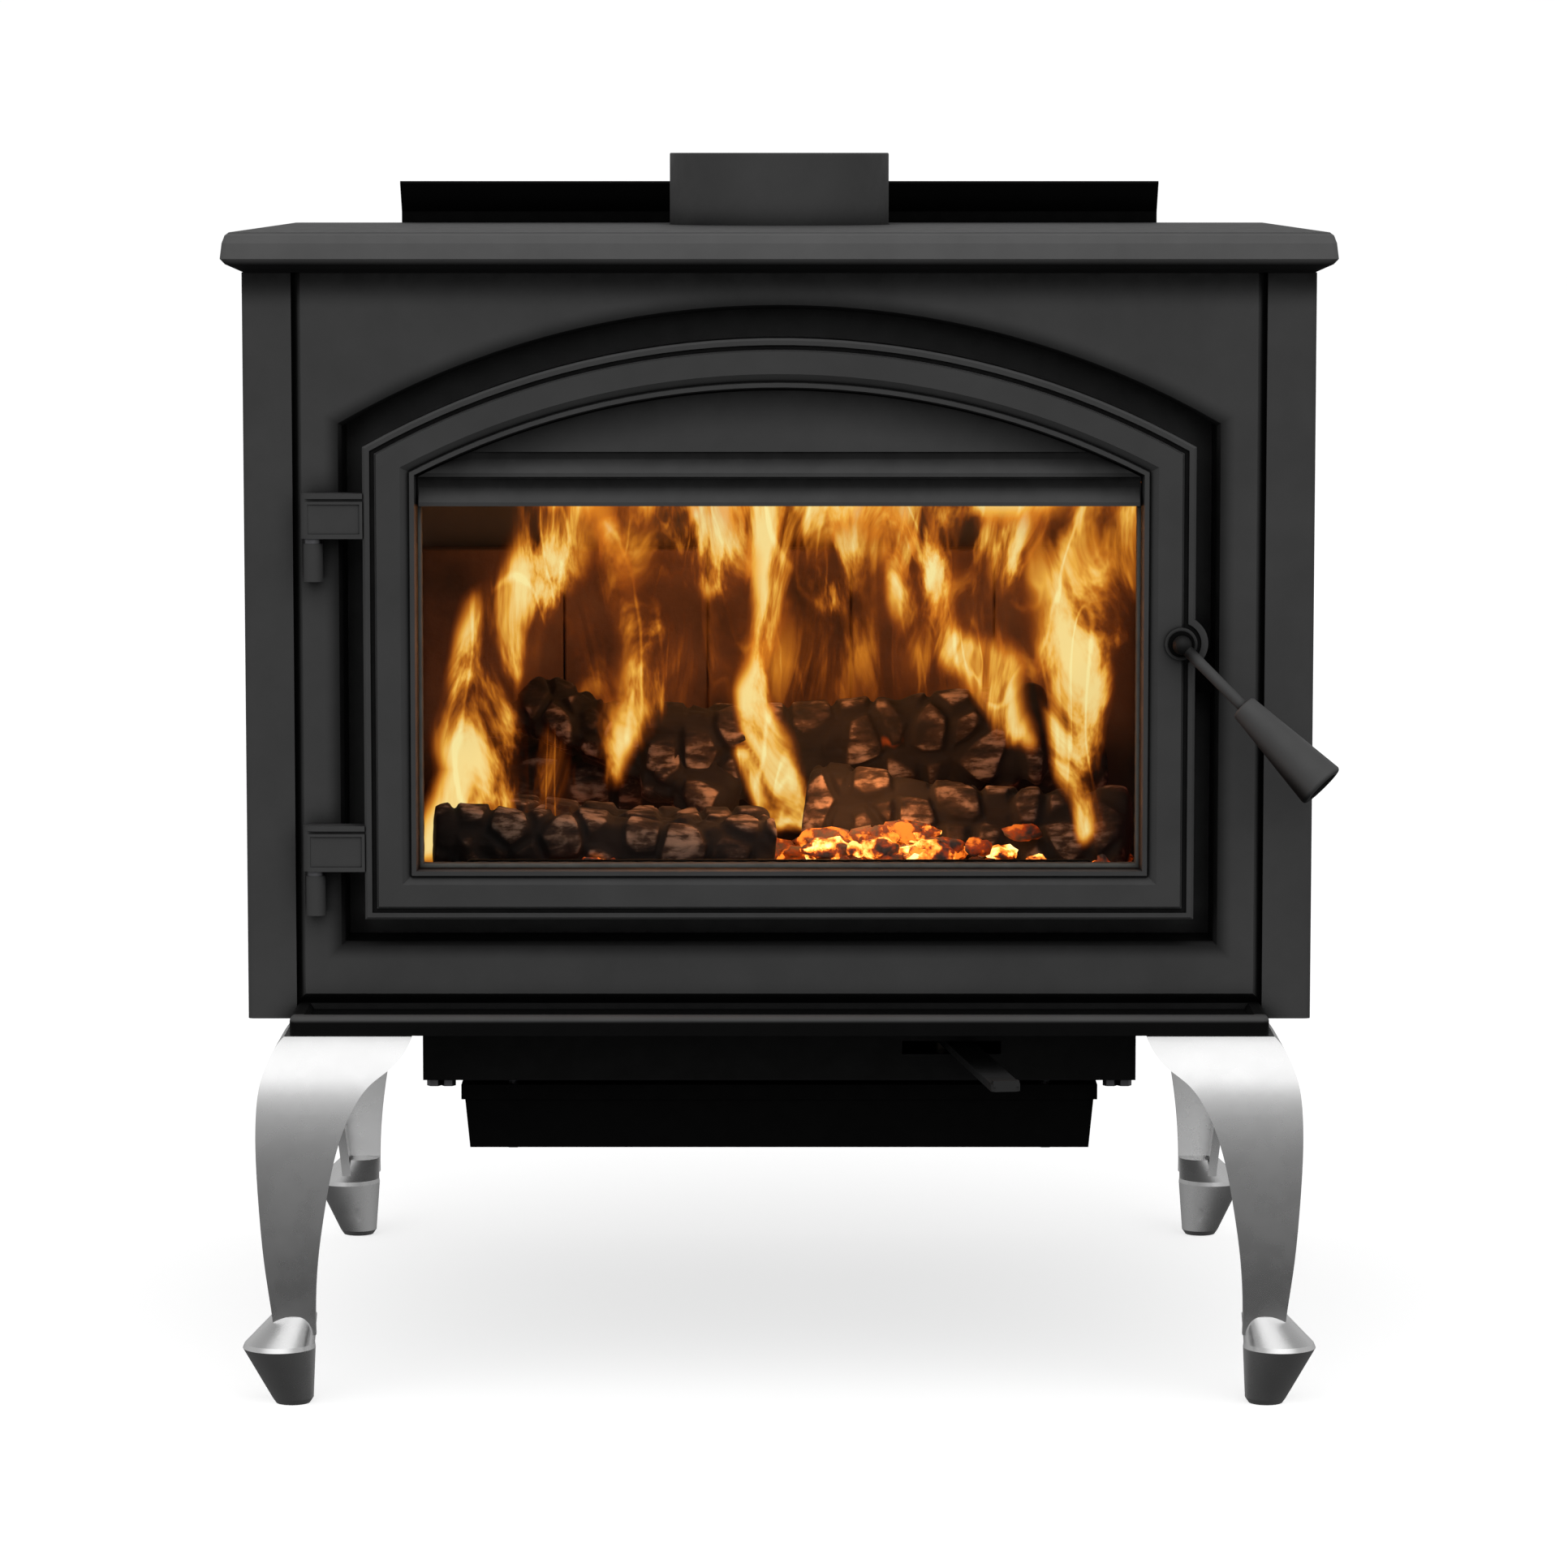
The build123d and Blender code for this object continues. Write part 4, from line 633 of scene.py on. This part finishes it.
def flame_sheet(name, depth, floor_z, tongues, seed):
    """One layer of the fire: a rippled sheet whose heat follows its tongues."""
    columns = 190
    rows = 130
    low_x = -FLAME_HALF_WIDTH
    low_z = floor_z + FLAME_LOW
    high_z = floor_z + FLAME_HIGH
    points = []
    heats = []
    for row in range(rows):
        z = low_z + (high_z - low_z) * row / (rows - 1)
        for column in range(columns):
            x = low_x - 2 * low_x * column / (columns - 1)
            sway = noise.noise(Vector((x * 9, z * 5, seed)))
            ripple = 0.020 * sway + 0.012 * math.sin(7 * x + seed)
            points.append(Vector((x, depth + ripple, z)))
            where = Vector((x * 22, z * 10, seed + 7))
            drift_x = 0.022 * noise.noise(where) + 0.010 * noise.noise(where * 2.3)
            drift_z = 0.020 * noise.noise(where + Vector((5, 3, 1)))
            heat = max(tongue_heat(x + drift_x, z + drift_z, path) for path in tongues)
            heat = smooth_step(0.0, 0.65, heat) * min(1.0, heat + 0.35)
            margin = min(1.0, (z - low_z) / 0.015, (high_z - z) / 0.010,
                         (x - low_x) / 0.012, (-low_x - x) / 0.012)
            heats.append(heat * margin)
    piece = mesh_piece(name, points, grid_faces(columns, rows), FIRE["flame"])
    point_values(piece, "warmth", heats)
    piece.visible_shadow = False
    piece.visible_diffuse = False
    return piece


# ---------------------------------------------------------------- rope, tape and blanket
def arched_path(half_width, sill, radius, pitch):
    """Evenly spaced points (x, z) round an arched outline with softened corners."""
    spring = ARCH_CENTRE_Z + math.sqrt(radius ** 2 - half_width ** 2)
    swing = math.asin(half_width / radius)
    corners = [(-half_width, spring), (-half_width, sill), (half_width, sill), (half_width, spring)]
    arc = [(radius * math.sin(swing * (1 - step / 40)),
            ARCH_CENTRE_Z + radius * math.cos(swing * (1 - step / 40))) for step in range(1, 80)]
    return even_points(corners + arc, pitch)


def even_points(corners, pitch):
    """Closed polyline as points a fixed distance apart, its corners eased."""
    points = []
    for (x0, z0), (x1, z1) in zip(corners, corners[1:] + corners[:1]):
        count = max(1, round(math.hypot(x1 - x0, z1 - z0) / pitch))
        points += [(x0 + (x1 - x0) * step / count, z0 + (z1 - z0) * step / count)
                   for step in range(count)]
    for _ in range(6):
        before = points[-1:] + points[:-1]
        after = points[1:] + points[:1]
        points = [((a[0] + 2 * b[0] + c[0]) / 4, (a[1] + 2 * b[1] + c[1]) / 4)
                  for a, b, c in zip(before, points, after)]
    return points


def braided_loop(name, path, y, wide, deep, body, squareness=1.0, relief=0.09):
    """Closed rope or tape in an XZ plane; crossing strands raise its surface."""
    around = 20
    points = []
    count = len(path)
    for index, (x, z) in enumerate(path):
        ahead_x, ahead_z = path[(index + 1) % count]
        back_x, back_z = path[index - 1]
        run = Vector((ahead_x - back_x, 0, ahead_z - back_z)).normalized()
        side = Vector((run.z, 0, -run.x))
        twist = 2 * math.pi * index / 9
        for step in range(around):
            turn = 2 * math.pi * step / around
            strands = max(math.sin(4 * turn + twist), math.sin(4 * turn - twist))
            swell = 1 - relief + relief * strands
            across = math.copysign(abs(math.cos(turn)) ** squareness, math.cos(turn))
            through = math.copysign(abs(math.sin(turn)) ** squareness, math.sin(turn))
            points.append(Vector((x, y, z)) + side * (wide * across * swell)
                          + Vector((0, deep * through * swell, 0)))
    faces = ring_faces(count, around)
    last = (count - 1) * around
    for step in range(around):
        right = (step + 1) % around
        faces.append((last + step, last + right, right, step))
    return mesh_piece(name, points, faces, MATERIALS["sealing_rope"], body)


def felt_slab(name, low, high, material, body):
    """Soft mat with rounded edges and an uneven, fibrous surface."""
    around = 120
    rings = 110
    half_y = (high.y - low.y) / 2
    half_z = (high.z - low.z) / 2
    points = []
    for ring in range(rings):
        share = ring / (rings - 1)
        x = low.x + (high.x - low.x) * share
        end = min(share, 1 - share) * (high.x - low.x)
        shrink = 0.80 + 0.20 * min(1.0, end / 0.006) ** 0.5
        for step in range(around):
            turn = 2 * math.pi * (step + 0.5) / around
            across = math.copysign(abs(math.cos(turn)) ** 0.35, math.cos(turn))
            upward = math.copysign(abs(math.sin(turn)) ** 0.35, math.sin(turn))
            fuzz = 1 - 0.05 * (1 + noise.noise(Vector((x * 45, across * 12, upward * 3))))
            points.append(Vector((x, (low.y + high.y) / 2 + half_y * across * 0.995,
                                  (low.z + high.z) / 2 + half_z * upward * shrink * fuzz)))
    faces = ring_faces(rings, around)
    faces.append(tuple(reversed(range(around))))
    faces.append(tuple(range((rings - 1) * around, rings * around)))
    return mesh_piece(name, points, faces, material, body)


def soft_seals():
    """The door's rope seal, the glass tape and the blanket on the baffle."""
    low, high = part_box("door_gasket")
    half = ROPE_HALF_WIDTH
    path = arched_path(high.x - half, low.z + half, high.z - half - ARCH_CENTRE_Z, STRAND_PITCH)
    rope = braided_loop("rope_seal", path, (low.y + high.y) / 2, half, (high.y - low.y) / 2, "door")
    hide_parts("door_gasket")
    low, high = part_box("glass_gasket")
    half = TAPE_HALF_WIDTH
    corners = [(low.x + half, high.z - half), (low.x + half, low.z + half),
               (high.x - half, low.z + half), (high.x - half, high.z - half)]
    tape = braided_loop("glass_tape", even_points(corners, STRAND_PITCH), (low.y + high.y) / 2, half,
                        (high.y - low.y) / 2, "door", 0.45, 0.03)
    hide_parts("glass_gasket")
    low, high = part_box("baffle_blanket")
    blanket = felt_slab("insulating_blanket", low, high, MATERIALS["ceramic_blanket"], "stove")
    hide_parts("baffle_blanket")


def fire():
    """Everything that burns, behind the door glass."""
    front_y = BRICK_FRONT_Y
    fuel_logs(BRICK_FLOOR_Z, front_y)
    ember_bed(BRICK_FLOOR_Z, Vector((-BRICK_SIDE_X + 0.004, front_y + 0.004)),
              Vector((BRICK_SIDE_X - 0.004, BRICK_REAR_Y - 0.004)))
    glowing_coals(BRICK_FLOOR_Z, front_y)
    low = BRICK_FLOOR_Z                         # the tongues' paths: x, z, half-width and heat
    corner = [(-0.236, low + 0.034, 0.020, 0.9), (-0.216, low + 0.088, 0.034, 1.0)]
    left = [(-0.206, low + 0.060, 0.038, 1.0), (-0.200, low + 0.110, 0.046, 1.1),
            (-0.188, low + 0.160, 0.042, 1.0), (-0.188, low + 0.205, 0.040, 0.9),
            (-0.160, low + 0.250, 0.046, 1.0), (-0.138, low + 0.310, 0.046, 1.0)]
    low_left = [(-0.160, low + 0.060, 0.034, 0.8), (-0.150, low + 0.125, 0.022, 0.5)]
    left_inner = [(-0.120, low + 0.085, 0.022, 0.6), (-0.094, low + 0.140, 0.034, 1.0),
                  (-0.104, low + 0.195, 0.024, 0.8), (-0.120, low + 0.260, 0.030, 0.8)]
    right = [(0.206, low + 0.070, 0.020, 0.9), (0.199, low + 0.120, 0.026, 0.9),
             (0.206, low + 0.180, 0.038, 1.0), (0.203, low + 0.235, 0.056, 1.0),
             (0.226, low + 0.300, 0.050, 1.0)]
    right_inner = [(0.172, low + 0.105, 0.020, 0.8), (0.152, low + 0.150, 0.032, 1.0),
                   (0.118, low + 0.180, 0.026, 0.8), (0.092, low + 0.230, 0.034, 0.9),
                   (0.070, low + 0.300, 0.044, 0.9)]
    centre = [(-0.004, low + 0.058, 0.020, 0.9), (-0.010, low + 0.105, 0.026, 1.0),
              (-0.016, low + 0.150, 0.022, 0.9), (-0.006, low + 0.200, 0.026, 0.8),
              (0.000, low + 0.270, 0.040, 0.9)]
    centre_low = [(-0.030, low + 0.095, 0.018, 0.7), (-0.018, low + 0.052, 0.016, 0.9),
                  (0.024, low + 0.044, 0.016, 0.8)]
    crown = [(-0.150, low + 0.305, 0.060, 1.0), (-0.040, low + 0.300, 0.085, 1.1),
             (0.090, low + 0.300, 0.080, 1.1), (0.225, low + 0.305, 0.060, 1.0)]
    lobes = [[(-0.050, low + 0.205, 0.026, 0.7), (-0.045, low + 0.300, 0.050, 1.0)],
             [(0.030, low + 0.190, 0.028, 0.7), (0.030, low + 0.300, 0.050, 1.0)],
             [(0.130, low + 0.170, 0.028, 0.7), (0.112, low + 0.300, 0.050, 1.0)],
             [(0.170, low + 0.180, 0.026, 0.7), (0.162, low + 0.300, 0.050, 1.0)]]
    haze = [[(-0.130, low + 0.150, 0.120, 0.42), (0.190, low + 0.150, 0.120, 0.42)],
            [(-0.110, low + 0.235, 0.090, 0.60), (0.190, low + 0.235, 0.090, 0.60)]]
    flame_sheet("rear_flames", front_y + 0.330, low, [crown] + lobes + haze, 3.0)
    flame_sheet("middle_flames", front_y + 0.175, low,
                [centre, centre_low, right_inner, left_inner, crown], 8.0)
    flame_sheet("front_flames", front_y + 0.045, low, [corner, left, low_left, right], 14.0)
    glow_light("upper_glow", (0.0, front_y + 0.17, low + 0.24), 0.9, 0.09)
    glow_light("low_glow", (0.05, front_y + 0.10, low + 0.095), 0.6, 0.05)
    glow_light("front_glow", (-0.05, front_y - 0.045, low + 0.20), 0.55, 0.06)


def glow_light(name, place, power, size):
    lamp = bpy.data.lights.new(name, "POINT")
    lamp.energy = power
    lamp.color = (1.0, 0.36, 0.11)
    lamp.shadow_soft_size = size
    lamp_object = bpy.data.objects.new(name, lamp)
    lamp_object.location = place
    bpy.context.scene.collection.objects.link(lamp_object)


# ---------------------------------------------------------------- studio
def sky():
    """Soft light from above and in front, dark from below, as a large softbox gives."""
    world = bpy.data.worlds.new("soft_studio")
    bpy.context.scene.world = world
    world.use_nodes = True
    tree = world.node_tree
    tree.nodes.clear()

    def add(kind, **settings):
        node = tree.nodes.new(kind)
        for key, value in settings.items():
            setattr(node, key, value)
        return node

    out = add("ShaderNodeOutputWorld")
    light = add("ShaderNodeBackground")
    where = add("ShaderNodeTexCoord").outputs["Generated"]
    split = add("ShaderNodeSeparateXYZ")
    tree.links.new(where, split.inputs[0])
    ramp = add("ShaderNodeValToRGB")
    lift = add("ShaderNodeMapRange")
    lift.inputs["From Min"].default_value = -1.0
    tree.links.new(split.outputs["Z"], lift.inputs["Value"])
    tree.links.new(lift.outputs[0], ramp.inputs[0])
    while len(ramp.color_ramp.elements) < len(SKY_LEVELS):
        ramp.color_ramp.elements.new(0.5)
    for element, (place, level) in zip(ramp.color_ramp.elements, SKY_LEVELS):
        element.position = place
        element.color = (level, level, level, 1)
    facing = add("ShaderNodeVectorMath", operation="DOT_PRODUCT")
    facing.inputs[1].default_value = KEY_DIRECTION
    tree.links.new(where, facing.inputs[0])
    softbox = add("ShaderNodeMapRange", interpolation_type="SMOOTHSTEP")
    for socket, value in (("From Min", 0.58), ("From Max", 0.97), ("To Max", 0.90)):
        softbox.inputs[socket].default_value = value
    tree.links.new(facing.outputs["Value"], softbox.inputs["Value"])
    total = add("ShaderNodeMath", operation="ADD")
    tree.links.new(ramp.outputs[0], total.inputs[0])
    tree.links.new(softbox.outputs[0], total.inputs[1])
    tree.links.new(total.outputs[0], light.inputs["Strength"])
    tree.links.new(light.outputs[0], out.inputs[0])


def stage_piece(name, points, faces, shade):
    """Floor or backdrop: seen by the camera, left out of reflections."""
    mesh = bpy.data.meshes.new(name)
    mesh.from_pydata(points, [], faces)
    piece = bpy.data.objects.new(name, mesh)
    bpy.context.scene.collection.objects.link(piece)
    mesh.materials.append(shade.material)
    piece.visible_glossy = False
    piece.visible_diffuse = False
    piece.visible_shadow = False
    return piece


def studio():
    """Pale floor and backdrop, sky light, and the camera in front."""
    sky()
    far = STAGE_REACH
    pale = Shade("pale_floor")
    pale.put(pale.bsdf, Base_Color=(0.9, 0.9, 0.9, 1), Roughness=0.9)
    pale.put(pale.bsdf, Emission_Color=(1, 1, 1, 1), Emission_Strength=FLOOR_GLOW)
    stage_piece("studio_floor", [(-far, -far, 0), (far, -far, 0), (far, far, 0), (-far, far, 0)],
                [(0, 1, 2, 3)], pale)
    white = Shade("white_backdrop")
    white.put(white.bsdf, Base_Color=(0, 0, 0, 1), Emission_Color=(1, 1, 1, 1), Emission_Strength=1.0)
    steps = 48
    turns = [2 * math.pi * step / steps for step in range(steps)]
    rim = [(far * math.cos(turn), far * math.sin(turn)) for turn in turns]
    wall = [(x, y, -far) for x, y in rim] + [(x, y, far) for x, y in rim]
    stage_piece("studio_backdrop", wall, ring_faces(2, steps), white)

    view = bpy.data.cameras.new("camera")
    view.lens = CAMERA_LENS
    view.sensor_width = 36.0
    view.shift_x = CAMERA_SHIFT_X
    view.clip_end = 200.0
    camera = bpy.data.objects.new("camera", view)
    bpy.context.scene.collection.objects.link(camera)
    camera.location = (0.0, FACE_Y - CAMERA_DISTANCE, CAMERA_HEIGHT)
    camera.rotation_euler = (math.pi / 2 - CAMERA_PITCH, 0, 0)
    bpy.context.scene.camera = camera
    bpy.context.scene.view_settings.view_transform = "Standard"


studio()
finish_cad_nodes()
fire()
soft_seals()
